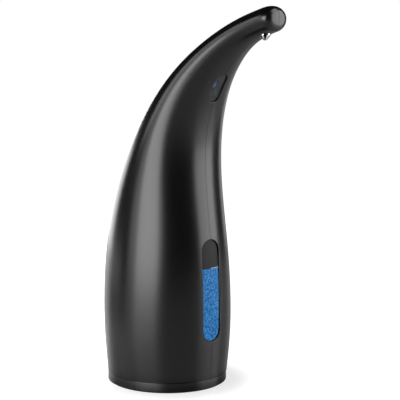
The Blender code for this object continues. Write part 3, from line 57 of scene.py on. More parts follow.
ahead = Vector((-math.sin(CAMERA_YAW) * math.cos(CAMERA_PITCH),
                math.cos(CAMERA_YAW) * math.cos(CAMERA_PITCH), -math.sin(CAMERA_PITCH)))
level = Vector((math.cos(CAMERA_YAW), math.sin(CAMERA_YAW), 0))
upright = level.cross(ahead)
sideways = level * math.cos(CAMERA_ROLL) + upright * math.sin(CAMERA_ROLL)
upward = upright * math.cos(CAMERA_ROLL) - level * math.sin(CAMERA_ROLL)
camera_data = bpy.data.cameras.new("camera")
camera_data.lens = FOCAL_LENGTH
camera_data.sensor_width = FILM_WIDTH
camera_data.clip_start = 0.01
camera = bpy.data.objects.new("camera", camera_data)
scene.collection.objects.link(camera)
camera.matrix_world = (Matrix.Translation(CAMERA_PLACE)
                       @ Matrix((sideways, upward, -ahead)).transposed().to_4x4())
scene.camera = camera


# Studio
# A white table in a dark room. A wide softbox on the dispenser's right makes the long highlight,
# one on its left the narrow one, and the rest draw the edges of the neck.
SOFTBOXES = (
    # name, bearing from +X, distance, height of the middle, width, height, power
    ("right_softbox", -82, 1.30, 0.39, 1.04, 0.78, 12.4),
    ("right_glow", -87, 1.33, 0.39, 1.82, 0.72, 8.2),
    ("right_wing", -132, 0.90, 0.52, 0.34, 0.40, 1.3),
    ("left_softbox", 42, 0.90, 0.34, 0.78, 0.66, 6.2),
    ("left_top", 36, 0.80, 0.95, 0.50, 0.50, 2.8),
    ("rear_softbox", 165, 0.90, 0.14, 0.80, 0.26, 2.2),
    ("rear_low", -154, 0.90, 0.04, 0.60, 0.08, 0.16),
    ("rear_left", 104, 0.90, 0.16, 0.30, 0.30, 0.25),
)
LIGHTS_AIM = Vector((0, 0, 0.14))
ROOM_LIGHT = 0.02
TABLE_HALF = 4
# The middle of the painted pool of light that glows on the table.
LIGHT_POOL_PLACE = (-0.12, -0.10, 0)

for name, bearing, distance, height, width, tall, power in SOFTBOXES:
    light_data = bpy.data.lights.new(name, "AREA")
    light_data.shape = "RECTANGLE"
    light_data.size = width
    light_data.size_y = tall
    light_data.energy = power
    light = bpy.data.objects.new(name, light_data)
    scene.collection.objects.link(light)
    angle = math.radians(bearing)
    place = Vector((distance * math.cos(angle), distance * math.sin(angle), height))
    light.location = place
    light.rotation_euler = (LIGHTS_AIM - place).to_track_quat("-Z", "Y").to_euler()


def added(tree, kind, inputs=None, **settings):
    """A new node. Each of its inputs, by name or number, takes a value or another node's output."""
    node = tree.nodes.new(kind)
    for name, value in settings.items():
        setattr(node, name, value)
    for key, value in (inputs or {}).items():
        if isinstance(value, bpy.types.NodeSocket):
            tree.links.new(value, node.inputs[key])
        else:
            node.inputs[key].default_value = value
    return node


def maths(tree, operation, *values):
    return added(tree, "ShaderNodeMath", dict(enumerate(values)), operation=operation).outputs[0]


def ranged(tree, value, start, end, low, high, easing="LINEAR"):
    """A value that goes from low to high as another goes from start to end."""
    inputs = {"Value": value, "From Min": start, "From Max": end, "To Min": low, "To Max": high}
    return added(tree, "ShaderNodeMapRange", inputs, interpolation_type=easing).outputs["Result"]


def new_finish(name):
    """A material, its node tree and its shader."""
    material = bpy.data.materials.new(name)
    material.use_nodes = True
    return material, material.node_tree, material.node_tree.nodes["Principled BSDF"]


world = bpy.data.worlds.new("studio")
world.use_nodes = True
scene.world = world
seen = added(world.node_tree, "ShaderNodeLightPath").outputs["Is Camera Ray"]
shade = added(world.node_tree, "ShaderNodeMix", {"Factor": seen, "A": ROOM_LIGHT, "B": 1.0})
background = world.node_tree.nodes["Background"]
background.inputs["Color"].default_value = (1, 1, 1, 1)
world.node_tree.links.new(shade.outputs["Result"], background.inputs["Strength"])

floor_mesh = bpy.data.meshes.new("floor")
floor_mesh.from_pydata([(x * TABLE_HALF, y * TABLE_HALF, 0)
                        for x, y in ((-1, -1), (1, -1), (1, 1), (-1, 1))], [], [(0, 1, 2, 3)])
floor = bpy.data.objects.new("floor", floor_mesh)
scene.collection.objects.link(floor)
table_finish, tree, shader = new_finish("white_table")
seen = added(tree, "ShaderNodeLightPath").outputs["Is Camera Ray"]
place = added(tree, "ShaderNodeTexCoord").outputs["Object"]
away = added(tree, "ShaderNodeVectorMath", {0: place}, operation="LENGTH").outputs["Value"]
from_light_pool = added(tree, "ShaderNodeVectorMath", {0: place, 1: LIGHT_POOL_PLACE},
               operation="DISTANCE").outputs["Value"]
# Painted shadow: the table's colour, and its white for camera rays, fall off close to the base.
# A painted pool of light glows on the dispenser's right, where the housing mirrors it.
# near is the painted shadow in the table's colour, fade the painted shadow in its white.
near = ranged(tree, away, 0.044, 0.066, 0.20, 0.66, "SMOOTHSTEP")
fade = ranged(tree, away, 0.035, 0.095, 0.70, 1.0, "SMOOTHSTEP")
painted_light_pool = ranged(tree, from_light_pool, 0.04, 0.20, 0.40, 0.0, "SMOOTHSTEP")
glow = maths(tree, "ADD", maths(tree, "MULTIPLY", seen, fade), painted_light_pool)
shader.inputs["Roughness"].default_value = 0.30
shader.inputs["Emission Color"].default_value = (1, 1, 1, 1)
tree.links.new(near, shader.inputs["Base Color"])
tree.links.new(glow, shader.inputs["Emission Strength"])
floor_mesh.materials.append(table_finish)


# Soap tank
# A blow-moulded clear tank that follows the housing's inside, with a filler neck at the back. The
# housing and the tank are ovals swept along one spine, so that rule is set up here.
# GAP is the clearance between pieces, CUT_PAST how far a cutter runs past a face, and WELD the
# distance within which points of a swept form become one. The spout's end closes along a curve
# with the power TIP_FLATNESS and the root TIP_EDGE, on rows that TIP_CROWDING draws towards the
# tip, down to a last ring of the share TIP_CLOSING.
GAP = 0.0003
CUT_PAST = 0.002
WELD = 0.000002
WALL = 0.0022
BASE_RADIUS = 0.0400
SPINE_RISE = 0.2395
SPINE_REACH = 0.0880
TIP_LENGTH = 0.0090
TIP_REACH = 0.0064
TIP_FLATNESS = 3.6
TIP_EDGE = 3.2
TIP_CROWDING = 2.5
TIP_CLOSING = 0.002
SEAM_HEIGHT = 0.0070
# Rise and reach as shares of the spine's, half depth and half width as shares of the base radius.
STATION_SHARES = (
    (0.000, 0.000, 0.985, 0.985),
    (0.160, 0.004, 1.035, 1.090),
    (0.350, -0.006, 1.030, 1.040),
    (0.540, 0.025, 0.855, 0.910),
    (0.713, 0.147, 0.575, 0.765),
    (0.857, 0.374, 0.360, 0.566),
    (0.957, 0.697, 0.232, 0.358),
    (1.000, 1.000, 0.203, 0.270),
)
FRONT, BACK = 0.0, math.pi
TANK_INSET = 0.0029
TANK_WALL = 0.0015
TANK_FLOOR = 0.0310
TANK_TOP = 0.1890
TUBE_ROOM = 0.0080
TUBE_SPREAD = 1.25
BAY_FRONT = 0.0030
BAY_TOP = 0.0635
NECK_RADIUS = 0.0110
NECK_WALL = 0.0013
CAP_HEIGHT = 0.1760
CAP_THICKNESS = 0.0022
SPIGOT_PLACE = Vector((BAY_FRONT, 0.0270, 0.0362))
BARB_RADIUS = 0.0014
BARB_BORE_RADIUS = 0.0008
BARB_LENGTH = 0.0042

stations = np.array([(reach * SPINE_REACH, rise * SPINE_RISE, depth * BASE_RADIUS,
                      width * BASE_RADIUS) for rise, reach, depth, width in STATION_SHARES])


def natural_bends(values):
    """Second differences of the natural cubic through equally spaced values."""
    matrix = np.eye(len(values))
    right = np.zeros(values.shape)
    for i in range(1, len(values) - 1):
        matrix[i, i - 1:i + 2] = (1, 4, 1)
        right[i] = 6 * (values[i - 1] - 2 * values[i] + values[i + 1])
    return np.linalg.solve(matrix, right)


def along(values, bends, share):
    """The cubic's values at a share of the way through them."""
    place = share * (len(values) - 1)
    i = min(max(int(place), 0), len(values) - 2)
    u = place - i
    return (values[i] * (1 - u) + values[i + 1] * u + ((1 - u) ** 3 - (1 - u)) / 6 * bends[i]
            + (u ** 3 - u) / 6 * bends[i + 1])


station_bends = natural_bends(stations)


def spine(share):
    """Middle, half depth and half width of the housing's section at a share of the spine."""
    x, z, half_depth, half_width = along(stations, station_bends, share)
    return Vector((x, 0, z)), half_depth, half_width


def spine_direction(share):
    return (spine(share + 0.001)[0] - spine(share - 0.001)[0]).normalized()


def across(share):
    """From the spine towards the front of the section."""
    direction = spine_direction(share)
    return Vector((direction.z, 0, -direction.x))


def skin(share, angle, inset=0.0):
    """A place on the housing's skin, or in from it by inset, at an angle from the front."""
    centre, half_depth, half_width = spine(share)
    return (centre + across(share) * (half_depth - inset) * math.cos(angle)
            + Vector((0, (half_width - inset) * math.sin(angle), 0)))


def share_where(value, place):
    """The share at which place(share) reaches a value."""
    low, high = 0.0, 1.0
    for _ in range(40):
        middle = (low + high) / 2
        if place(middle) < value:
            low = middle
        else:
            high = middle
    return low


def spine_share(height):
    return share_where(height, lambda s: spine(s)[0].z)


def skin_stretch(share, angle):
    """Length along the skin for one share."""
    return (skin(share + 0.01, angle) - skin(share - 0.01, angle)).length / 0.02


def skin_matrix(share, angle):
    """A frame on the skin at the front or back: Z points out and Y up along the skin."""
    up = (skin(share + 0.002, angle) - skin(share - 0.002, angle)).normalized()
    side = Vector((0, math.cos(angle), 0))
    return (Matrix.Translation(skin(share, angle))
            @ Matrix((side, up, side.cross(up))).transposed().to_4x4())


def node_group(kind, name, inputs, outputs):
    """A node group, what it is given and what it hands back."""
    tree = bpy.data.node_groups.new(name, kind)
    for flow, sockets in (("INPUT", inputs), ("OUTPUT", outputs)):
        for socket, sort in sockets.items():
            tree.interface.new_socket(socket, in_out=flow, socket_type="NodeSocket" + sort)
    return tree, added(tree, "NodeGroupInput").outputs, added(tree, "NodeGroupOutput").inputs


def end_tree(tree, geometry, finish, result):
    """Makes instances real and gives them their finish."""
    real = added(tree, "GeometryNodeRealizeInstances", {"Geometry": geometry})
    coated = added(tree, "GeometryNodeSetMaterial",
                   {"Geometry": real.outputs["Geometry"], "Material": finish})
    tree.links.new(coated.outputs["Geometry"], result)


def sweep_tree():
    """Sweeps an oval along a line of rows. Each row carries its half depth, half width and front."""
    tree, given, result = node_group(
        "GeometryNodeTree", "oval_sweep", {"Rows": "Geometry", "Row Count": "Int", "Sides": "Int",
                                           "Tube Room": "Float", "Finish": "Material"},
        {"Skin": "Geometry"})

    def times(first, second):
        return maths(tree, "MULTIPLY", first, second)

    def row_value(name, kind):
        value = added(tree, "GeometryNodeInputNamedAttribute", {"Name": name}, data_type=kind)
        inputs = {"Geometry": given["Rows"], "Value": value.outputs["Attribute"], "Index": row}
        return added(tree, "GeometryNodeSampleIndex", inputs, data_type=kind).outputs["Value"]

    around = maths(tree, "ADD", given["Sides"], 1)
    grid = added(tree, "GeometryNodeMeshGrid",
                 {"Vertices X": given["Row Count"], "Vertices Y": around})
    index = added(tree, "GeometryNodeInputIndex").outputs[0]
    row = maths(tree, "FLOOR", maths(tree, "DIVIDE", maths(tree, "ADD", index, 0.5), around))
    column = maths(tree, "SUBTRACT", index, times(row, around))
    angle = maths(tree, "DIVIDE", times(column, 2 * math.pi), given["Sides"])
    cosine, sine = maths(tree, "COSINE", angle), maths(tree, "SINE", angle)
    # The room for the tubes eases in from nothing at the sides to its whole at the back.
    behind = maths(tree, "MINIMUM", maths(tree, "MAXIMUM", times(cosine, -TUBE_SPREAD), 0), 1)
    share = times(times(behind, behind), maths(tree, "SUBTRACT", 3, times(behind, 2)))
    reach = maths(tree, "ADD", times(row_value("half_depth", "FLOAT"), cosine),
                  times(given["Tube Room"], share))
    forward = added(tree, "ShaderNodeVectorMath",
                    {0: row_value("front", "FLOAT_VECTOR"), "Scale": reach}, operation="SCALE")
    aside = added(tree, "ShaderNodeCombineXYZ", {"Y": times(row_value("half_width", "FLOAT"), sine)})
    place = row_value("middle", "FLOAT_VECTOR")
    for step in (forward, aside):
        place = added(tree, "ShaderNodeVectorMath", {0: place, 1: step.outputs[0]},
                      operation="ADD").outputs[0]
    move = added(tree, "GeometryNodeSetPosition",
                 {"Geometry": grid.outputs["Mesh"], "Position": place})
    weld = added(tree, "GeometryNodeMergeByDistance",
                 {"Geometry": move.outputs["Geometry"], "Distance": WELD})
    end_tree(tree, weld.outputs["Geometry"], given["Finish"], result["Skin"])
    return tree


oval_sweep = sweep_tree()


def horn_rows(inset, start, end, count, rounded):
    """Middle, half depth, half width and front of each row, in from the skin by inset. Rounded rows
    close the spout with a blunt end that turns level, a little beyond the spine's end."""
    if rounded:
        end = 1 - (TIP_LENGTH - TIP_REACH) / ((spine(1)[0] - spine(0.99)[0]).length * 100)
    shares = [start + (end - start) * i / count for i in range(count + 1)]
    rows = [(spine(share)[0], spine(share)[1] - inset, spine(share)[2] - inset, across(share))
            for share in shares]
    middle, before = spine(end)[0], 0
    slope = math.asin(spine_direction(end).z)
    for i in range(1, rounded + 1):
        part = 1 - (1 - i / rounded) ** TIP_CROWDING
        fullness = max(1 - part ** TIP_FLATNESS, 0.0) ** (1 / TIP_EDGE) + TIP_CLOSING
        share = min(end + (1 - end) * part * TIP_LENGTH / (TIP_LENGTH - TIP_REACH), 1)
        turn = slope * (1 - part)
        middle = middle + Vector((math.cos(turn), 0, math.sin(turn))) * (
            (TIP_LENGTH - inset) * (part - before))
        before = part
        rows.append((middle, (spine(share)[1] - inset) * fullness,
                     (spine(share)[2] - inset) * fullness,
                     Vector((math.sin(turn), 0, -math.cos(turn)))))
    return rows


def grown(name, mesh, tree, values):
    """Runs geometry nodes on a mesh, with their inputs set by name, and returns the result."""
    carrier = bpy.data.objects.new(name + "_start", mesh)
    scene.collection.objects.link(carrier)
    modifier = carrier.modifiers.new("grow", "NODES")
    modifier.node_group = tree
    for item in tree.interface.items_tree:
        if item.in_out == "INPUT" and item.name in values:
            modifier[item.identifier] = values[item.name]
    bpy.context.view_layer.update()
    result = bpy.data.meshes.new_from_object(
        carrier.evaluated_get(bpy.context.evaluated_depsgraph_get()))
    bpy.data.objects.remove(carrier)
    return result


def swept(name, rows, sides, tube_room=0.0):
    """A closed solid through the rows, made by the sweep and capped at both ends."""
    line = bpy.data.meshes.new(name + "_rows")
    line.from_pydata([tuple(row[0]) for row in rows], [], [])
    for attribute, kind, index in (("middle", "FLOAT_VECTOR", 0), ("half_depth", "FLOAT", 1),
                                   ("half_width", "FLOAT", 2), ("front", "FLOAT_VECTOR", 3)):
        values = line.attributes.new(attribute, kind, "POINT").data
        for slot, row in zip(values, rows):
            if kind == "FLOAT":
                slot.value = row[index]
            else:
                slot.vector = row[index]
    mesh = grown(name, line, oval_sweep, {"Row Count": len(rows), "Sides": sides,
                                          "Tube Room": tube_room})
    bm = bmesh.new()
    bm.from_mesh(mesh)
    bpy.data.meshes.remove(mesh)
    bmesh.ops.holes_fill(bm, edges=bm.edges, sides=0)
    return as_object(name, bm)


def as_object(name, bm, matrix=None):
    """A bmesh becomes an object at the origin, with outward faces."""
    if matrix:
        bm.transform(matrix)
    bmesh.ops.recalc_face_normals(bm, faces=bm.faces)
    mesh = bpy.data.meshes.new(name)
    bm.to_mesh(mesh)
    bm.free()
    obj = bpy.data.objects.new(name, mesh)
    scene.collection.objects.link(obj)
    return obj


def carve(obj, operation, *tools):
    """Applies one boolean for each tool and deletes the tools."""
    for tool in tools:
        modifier = obj.modifiers.new("carve", "BOOLEAN")
        modifier.operation = operation
        modifier.object = tool
        modifier.solver = "MANIFOLD"
    bpy.context.view_layer.update()
    carved = bpy.data.meshes.new_from_object(
        obj.evaluated_get(bpy.context.evaluated_depsgraph_get()))
    obj.modifiers.clear()
    old = obj.data
    obj.data = carved
    bpy.data.meshes.remove(old)
    for tool in tools:
        bpy.data.objects.remove(tool)
    return obj


def smooth(obj, angle=30):
    obj.data.shade_smooth()
    obj.data.set_sharp_from_angle(angle=math.radians(angle))
    return obj


def block(name, low, high, matrix=None, ease=0, segments=2):
    """A box between two corners, with its edges rounded by ease."""
    low, high = Vector(low), Vector(high)
    bm = bmesh.new()
    bmesh.ops.create_cube(bm, size=1)
    bmesh.ops.scale(bm, vec=high - low, verts=bm.verts)
    bmesh.ops.translate(bm, vec=(low + high) / 2, verts=bm.verts)
    if ease:
        bmesh.ops.bevel(bm, geom=bm.edges[:], offset=ease, segments=segments, profile=0.6,
                        affect="EDGES")
    return as_object(name, bm, matrix)


def lathe(name, profile, sides, matrix=None, closed=False):
    """Turns (radius, height) points round Z. A point on the axis closes the form there."""
    bm = bmesh.new()
    rings = []
    for radius, height in profile:
        if radius == 0:
            rings.append([bm.verts.new((0, 0, height))])
        else:
            rings.append([bm.verts.new((radius * math.cos(2 * math.pi * i / sides),
                                        radius * math.sin(2 * math.pi * i / sides), height))
                          for i in range(sides)])
    pairs = list(zip(rings, rings[1:]))
    if closed:
        pairs.append((rings[-1], rings[0]))
    for first, second in pairs:
        for i in range(sides):
            j = (i + 1) % sides
            if len(first) == 1 and len(second) == 1:
                continue
            if len(first) == 1:
                bm.faces.new((first[0], second[i], second[j]))
            elif len(second) == 1:
                bm.faces.new((first[i], first[j], second[0]))
            else:
                bm.faces.new((first[i], first[j], second[j], second[i]))
    return as_object(name, bm, matrix)


def rod(name, radius, start, end, sides=32, matrix=None):
    """A plain cylinder from one point to another."""
    start, end = Vector(start), Vector(end)
    turn = (end - start).to_track_quat("Z", "Y").to_matrix().to_4x4()
    place = Matrix.Translation(start) @ turn
    height = (end - start).length
    return lathe(name, [(0, 0), (radius, 0), (radius, height), (0, height)], sides,
                 matrix @ place if matrix else place)


def eased_profile(points, radius, steps=3):
    """Rounds the corners of a profile. A point may carry its own radius as a third value."""
    result = []
    count = len(points)
    for i, point in enumerate(points):
        size = point[2] if len(point) > 2 else radius
        here = Vector(point[:2])
        if i in (0, count - 1) or not size:
            result.append(tuple(here))
            continue
        before, after = Vector(points[i - 1][:2]) - here, Vector(points[i + 1][:2]) - here
        reach = min(size, before.length * 0.45, after.length * 0.45)
        first, last = here + before.normalized() * reach, here + after.normalized() * reach
        for k in range(steps + 1):
            t = k / steps
            result.append(tuple(first * (1 - t) ** 2 + here * 2 * t * (1 - t) + last * t ** 2))
    return result


def grain_group():
    """Fine moulded grain, and slow unevenness, over a surface."""
    tree, given, result = node_group("ShaderNodeTree", "moulded_grain",
                                     {"Scale": "Float", "Stretch": "Vector"},
                                     {"Height": "Float", "Unevenness": "Float"})
    place = added(tree, "ShaderNodeTexCoord").outputs["Object"]
    drawn = added(tree, "ShaderNodeVectorMath", {0: place, 1: given["Stretch"]},
                  operation="MULTIPLY")
    fine = added(tree, "ShaderNodeTexNoise",
                 {"Vector": drawn.outputs["Vector"], "Scale": given["Scale"], "Detail": 2})
    slow = added(tree, "ShaderNodeTexNoise", {"Vector": place, "Scale": 55, "Detail": 3})
    tree.links.new(fine.outputs["Fac"], result["Height"])
    tree.links.new(slow.outputs["Fac"], result["Unevenness"])
    return tree


moulded_grain = grain_group()


def plastic(name, colour, roughness, grain=2500, depth=0.00002, spread=0.05, lift=1.25,
            stretch=(1, 1, 1), **sockets):
    """Moulded plastic: grain in the surface, and a colour and gloss that vary a little."""
    material, tree, shader = new_finish(name)
    for socket, value in sockets.items():
        shader.inputs[socket.replace("_", " ")].default_value = value
    effect = added(tree, "ShaderNodeGroup", {"Scale": grain, "Stretch": stretch},
                   node_tree=moulded_grain).outputs
    bump = added(tree, "ShaderNodeBump",
                 {"Height": effect["Height"], "Distance": depth, "Strength": 0.5})
    gloss = ranged(tree, effect["Unevenness"], 0, 1, roughness - spread, roughness + spread)
    lighter = [min(value * lift, 1) for value in colour]
    tint = added(tree, "ShaderNodeMix",
                 {"Factor": effect["Unevenness"], 6: (*colour, 1), 7: (*lighter, 1)},
                 data_type="RGBA")
    tree.links.new(bump.outputs["Normal"], shader.inputs["Normal"])
    tree.links.new(gloss, shader.inputs["Roughness"])
    tree.links.new(tint.outputs[2], shader.inputs["Base Color"])
    return material


def fitted(obj, node, body):
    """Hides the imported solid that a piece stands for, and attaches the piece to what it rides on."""
    if node:
        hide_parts(node)
    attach(obj, body)


def dressed(obj, finish, node, body, angle=30):
    """Smooths a finished piece, gives it its one finish and fits it."""
    smooth(obj, angle)
    obj.data.materials.clear()
    obj.data.materials.append(finish)
    fitted(obj, node, body)


def tank_form(name, inset, floor, bay_front, bay_top, top):
    """The horn's lower part, in from the skin, with a bay cut out for the motor and the pump."""
    start, end = spine_share(floor - CUT_PAST), spine_share(top)
    form = swept(name, horn_rows(inset, start, end, 48, 0), 96, TUBE_ROOM)
    far = 2 * BASE_RADIUS
    return carve(form, "DIFFERENCE",
                 block("bay", (-far, -far, -far), (bay_front, far, bay_top)),
                 block("under", (-far - GAP, -far - GAP, -far - GAP), (far, far, floor)))


cap_share = share_where(CAP_HEIGHT, lambda s: skin(s, BACK).z)
cap_matrix = skin_matrix(cap_share, BACK)
_, cap_half_depth, cap_half_width = spine(cap_share)
neck_depth = (CAP_THICKNESS + 1.5 * NECK_RADIUS ** 2 * cap_half_depth / (2 * cap_half_width ** 2)
              + 2 * GAP)
neck_end = -neck_depth - TUBE_ROOM
tank = tank_form("tank", TANK_INSET, TANK_FLOOR, BAY_FRONT, BAY_TOP, TANK_TOP)
tank_room = tank_form("tank_room", TANK_INSET + TANK_WALL, TANK_FLOOR + TANK_WALL,
                      BAY_FRONT + TANK_WALL, BAY_TOP + TANK_WALL, TANK_TOP - TANK_WALL)
carve(tank, "UNION", rod("neck", NECK_RADIUS, (0, 0, neck_end), (0, 0, -neck_depth), 64,
                         cap_matrix))
carve(tank, "DIFFERENCE", tank_room,
      rod("neck_bore", NECK_RADIUS - NECK_WALL, (0, 0, neck_end - CUT_PAST),
          (0, 0, CUT_PAST), 64, cap_matrix))
beyond = Vector((CUT_PAST, 0, 0))
inside = SPIGOT_PLACE + Vector((TANK_WALL / 2, 0, 0))
outside = SPIGOT_PLACE - Vector((BARB_LENGTH, 0, 0))
carve(tank, "UNION", rod("spigot", BARB_RADIUS, inside, outside))
carve(tank, "DIFFERENCE", rod("spigot_bore", BARB_BORE_RADIUS, inside + beyond, outside - beyond))
dressed(tank, plastic("clear_tank", (0.42, 0.44, 0.45), 0.25, 900, Alpha=0.05), "soap_tank",
        "housing")


# Soap
# Clear blue liquid soap with fine bubbles, up to the level that shows in the front window.
SOAP_LEVEL = 0.0805
AIR_ROOM = 0.008

room = TANK_WALL + GAP
soap = tank_form("soap", TANK_INSET + room, TANK_FLOOR + room, BAY_FRONT + room, BAY_TOP + room,
                 SOAP_LEVEL + AIR_ROOM)
far = 3 * BASE_RADIUS
carve(soap, "DIFFERENCE", block("air", (-far, -far, SOAP_LEVEL), (far, far, far)))


def colour_ramp(tree, value, stops, blend="LINEAR"):
    """A colour that changes with a value, from stops of a position and a colour."""
    ramp = added(tree, "ShaderNodeValToRGB", {"Fac": value})
    elements = ramp.color_ramp.elements
    ramp.color_ramp.interpolation = blend
    elements[0].position, elements[0].color = stops[0]
    elements[1].position, elements[1].color = stops[-1]
    for position, colour in stops[1:-1]:
        elements.new(position).color = colour
    return ramp.outputs


soap_finish, tree, shader = new_finish("blue_soap")
place = added(tree, "ShaderNodeTexCoord").outputs["Object"]
bubbles = added(tree, "ShaderNodeTexNoise", {"Vector": place, "Scale": 1500, "Detail": 4})
look = colour_ramp(tree, bubbles.outputs["Fac"], ((0.36, (0.018, 0.150, 0.520, 1)),
                                                  (0.64, (0.085, 0.400, 0.860, 1))))
shader.inputs["Roughness"].default_value = 0.25
tree.links.new(look["Color"], shader.inputs["Base Color"])
dressed(soap, soap_finish, "liquid_soap", "housing")


# Housing halves
# Two injection moulded halves in satin black ABS, welded down the middle, with a fine parting line
# over the whole horn. The front has the window and sensor slots, the back the panel and cap holes.
WINDOW_LENGTH = 0.0685
WINDOW_WIDTH = 0.0156
WINDOW_HEIGHT = 0.0665
SENSOR_LENGTH = 0.0205
SENSOR_WIDTH = 0.0102
SENSOR_HEIGHT = 0.1972
PANEL_LENGTH = 0.0400
PANEL_WIDTH = 0.0170
PANEL_HEIGHT = 0.1180
CAP_RADIUS = 0.0128
NOZZLE_REACH = 0.0834
NOZZLE_RADIUS = 0.0035
PARTING_GAP = 0.00020
TRAY_SCREW_X = 0.0120
TRAY_SCREW_Y = 0.0285
TRAY_TOP = 0.0230
BOSS_RADIUS = 0.0030
BOSS_HEIGHT = 0.0066
WEB_HALF = 0.0006
PILOT_RADIUS = 0.00155
# Cutters start OUTSIDE, as a depth below the skin. A face takes the smooth skin's normals where
# its corners are ON_SKIN or nearer and the cosine between the two is FACING or more.
SLOT_DEPTH = 0.0080
SENSOR_SLOT_DEPTH = 0.0060
OUTSIDE = -0.010
ON_SKIN = 0.000004
FACING = 0.92

window_share = share_where(WINDOW_HEIGHT, lambda s: skin(s, FRONT).z)
sensor_share = share_where(SENSOR_HEIGHT, lambda s: skin(s, FRONT).z)
panel_share = share_where(PANEL_HEIGHT, lambda s: skin(s, BACK).z)
nozzle_share = share_where(NOZZLE_REACH, lambda s: skin(max(s, 0.5), FRONT).x)
sensor_matrix = skin_matrix(sensor_share, FRONT)
panel_matrix = skin_matrix(panel_share, BACK)
nozzle_skin = skin(nozzle_share, FRONT).z


def slot_outline(length, width, sides=24):
    """A slot along Y: two half circles joined by straight runs."""
    radius, straight = width / 2, length / 2 - width / 2
    top = [(radius * math.cos(math.pi * i / sides), straight + radius * math.sin(math.pi * i / sides))
           for i in range(sides + 1)]
    return top + [(-x, -y) for x, y in top]


def skin_cutter(name, share, angle, outlines):
    """A cutter through the skin. Each outline comes with its depth below the skin, so a chamfer
    keeps one width all round, however the skin bends."""
    stretch = skin_stretch(share, angle)
    bm = bmesh.new()
    loops = []
    for points, depth in outlines:
        loop = []
        for x, y in points:
            local = share + y / stretch
            turn = math.asin(max(-1, min(1, x / (spine(local)[2] - depth))))
            place = skin(local, turn if angle == FRONT else math.pi - turn, depth)
            loop.append(bm.verts.new(place))
        loops.append(loop)
    for lower, upper in zip(loops, loops[1:]):
        for i in range(len(lower)):
            j = (i + 1) % len(lower)
            bm.faces.new((lower[i], lower[j], upper[j], upper[i]))
    bmesh.ops.triangulate(bm, faces=[bm.faces.new(loops[0]), bm.faces.new(loops[-1])])
    return as_object(name, bm)


def slot_cutter(name, share, angle, length, width, depth, edge=0.00035):
    """A slot through the skin with a rounded rim, edge wide."""
    rims = [(1.6, OUTSIDE), (1.6, -edge), (1, 0), (0.45, 0.3 * edge), (0.12, 0.68 * edge),
            (0, 1.1 * edge), (0, depth)]
    return skin_cutter(name, share, angle,
                       [(slot_outline(length + 2 * edge * grow, width + 2 * edge * grow), deep)
                        for grow, deep in rims])


def follow_skin(obj, source):
    """Gives the faces that lie on the source its smooth normals, so that a cut edge bends no light."""
    places = [vertex.co for vertex in source.vertices]
    normals = [corner.vector for corner in source.vertex_normals]
    faces = [tuple(face.vertices) for face in source.polygons]
    tree = BVHTree.FromPolygons(places, faces)
    found = [tree.find_nearest(vertex.co) for vertex in obj.data.vertices]
    result = [corner.vector.copy() for corner in obj.data.corner_normals]
    for face in obj.data.polygons:
        near = [found[i] for i in face.vertices]
        if max(hit[3] for hit in near) > ON_SKIN or near[0][1].dot(face.normal) < FACING:
            continue
        for loop, i in zip(face.loop_indices, face.vertices):
            place, _, index, _ = found[i]
            corners = faces[index]
            weights = poly_3d_calc([places[k] for k in corners], place)
            normal = sum((normals[k] * w for k, w in zip(corners, weights)), Vector())
            result[loop] = normal.normalized()
    obj.data.normals_split_custom_set(result)


housing_finish = plastic("satin_black", (0.0013, 0.0013, 0.0014), 0.25, 3200, 0.000008, 0.012, 1.3)

outer = swept("outer", horn_rows(0, 0, 1, 220, 36), 192)
skin_mesh = outer.data.copy()
cavity_rows = horn_rows(WALL, 0, 1, 110, 14)
cavity_rows.insert(0, (cavity_rows[0][0] - Vector((0, 0, 2 * CUT_PAST)),) + cavity_rows[0][1:])
carve(outer, "DIFFERENCE", swept("cavity", cavity_rows, 96))
boss_bottom, boss_top = TRAY_TOP + GAP, TRAY_TOP + GAP + BOSS_HEIGHT
_, boss_depth, boss_width = spine(spine_share(boss_top))
for side, name, node in ((1, "housing_left", "left_shell"), (-1, "housing_right", "right_shell")):
    half = bpy.data.objects.new(name, outer.data.copy())
    scene.collection.objects.link(half)
    bosses, pilots = [], []
    for x in (-TRAY_SCREW_X, TRAY_SCREW_X):
        y = side * TRAY_SCREW_Y
        wall_y = side * (boss_width - WALL / 2) * math.sqrt(1 - (x / boss_depth) ** 2)
        bosses.append(rod("boss", BOSS_RADIUS, (x, y, boss_bottom), (x, y, boss_top), 32))
        bosses.append(block("web", (x - WEB_HALF, min(y, wall_y), boss_bottom + GAP),
                            (x + WEB_HALF, max(y, wall_y), boss_top - GAP)))
        pilots.append(rod("pilot", PILOT_RADIUS, (x, y, TRAY_TOP - CUT_PAST), (x, y, boss_top - GAP),
                          24))
    carve(half, "UNION", *bosses)
    near, far = side * PARTING_GAP / 2, side * 0.1
    carve(half, "INTERSECT", block("keep", (-0.1, min(near, far), SEAM_HEIGHT + GAP / 2),
                                   (0.2, max(near, far), 0.3)))
    carve(half, "DIFFERENCE",
          slot_cutter("window_slot", window_share, FRONT, WINDOW_LENGTH, WINDOW_WIDTH, SLOT_DEPTH),
          slot_cutter("sensor_slot", sensor_share, FRONT, SENSOR_LENGTH, SENSOR_WIDTH,
                      SENSOR_SLOT_DEPTH, 0.00025),
          slot_cutter("panel_slot", panel_share, BACK, PANEL_LENGTH, PANEL_WIDTH, SLOT_DEPTH, 0.0002),
          rod("cap_hole", CAP_RADIUS + GAP, (0, 0, -0.009), (0, 0, 2 * CUT_PAST), 96, cap_matrix),
          rod("nozzle_hole", NOZZLE_RADIUS + GAP, (NOZZLE_REACH, 0, nozzle_skin - SLOT_DEPTH),
              (NOZZLE_REACH, 0, nozzle_skin + WALL + CUT_PAST), 48), *pilots)
    smooth(half, 28)
    follow_skin(half, skin_mesh)
    half.data.materials.clear()
    half.data.materials.append(housing_finish)
    fitted(half, node, "housing")
bpy.data.objects.remove(outer)
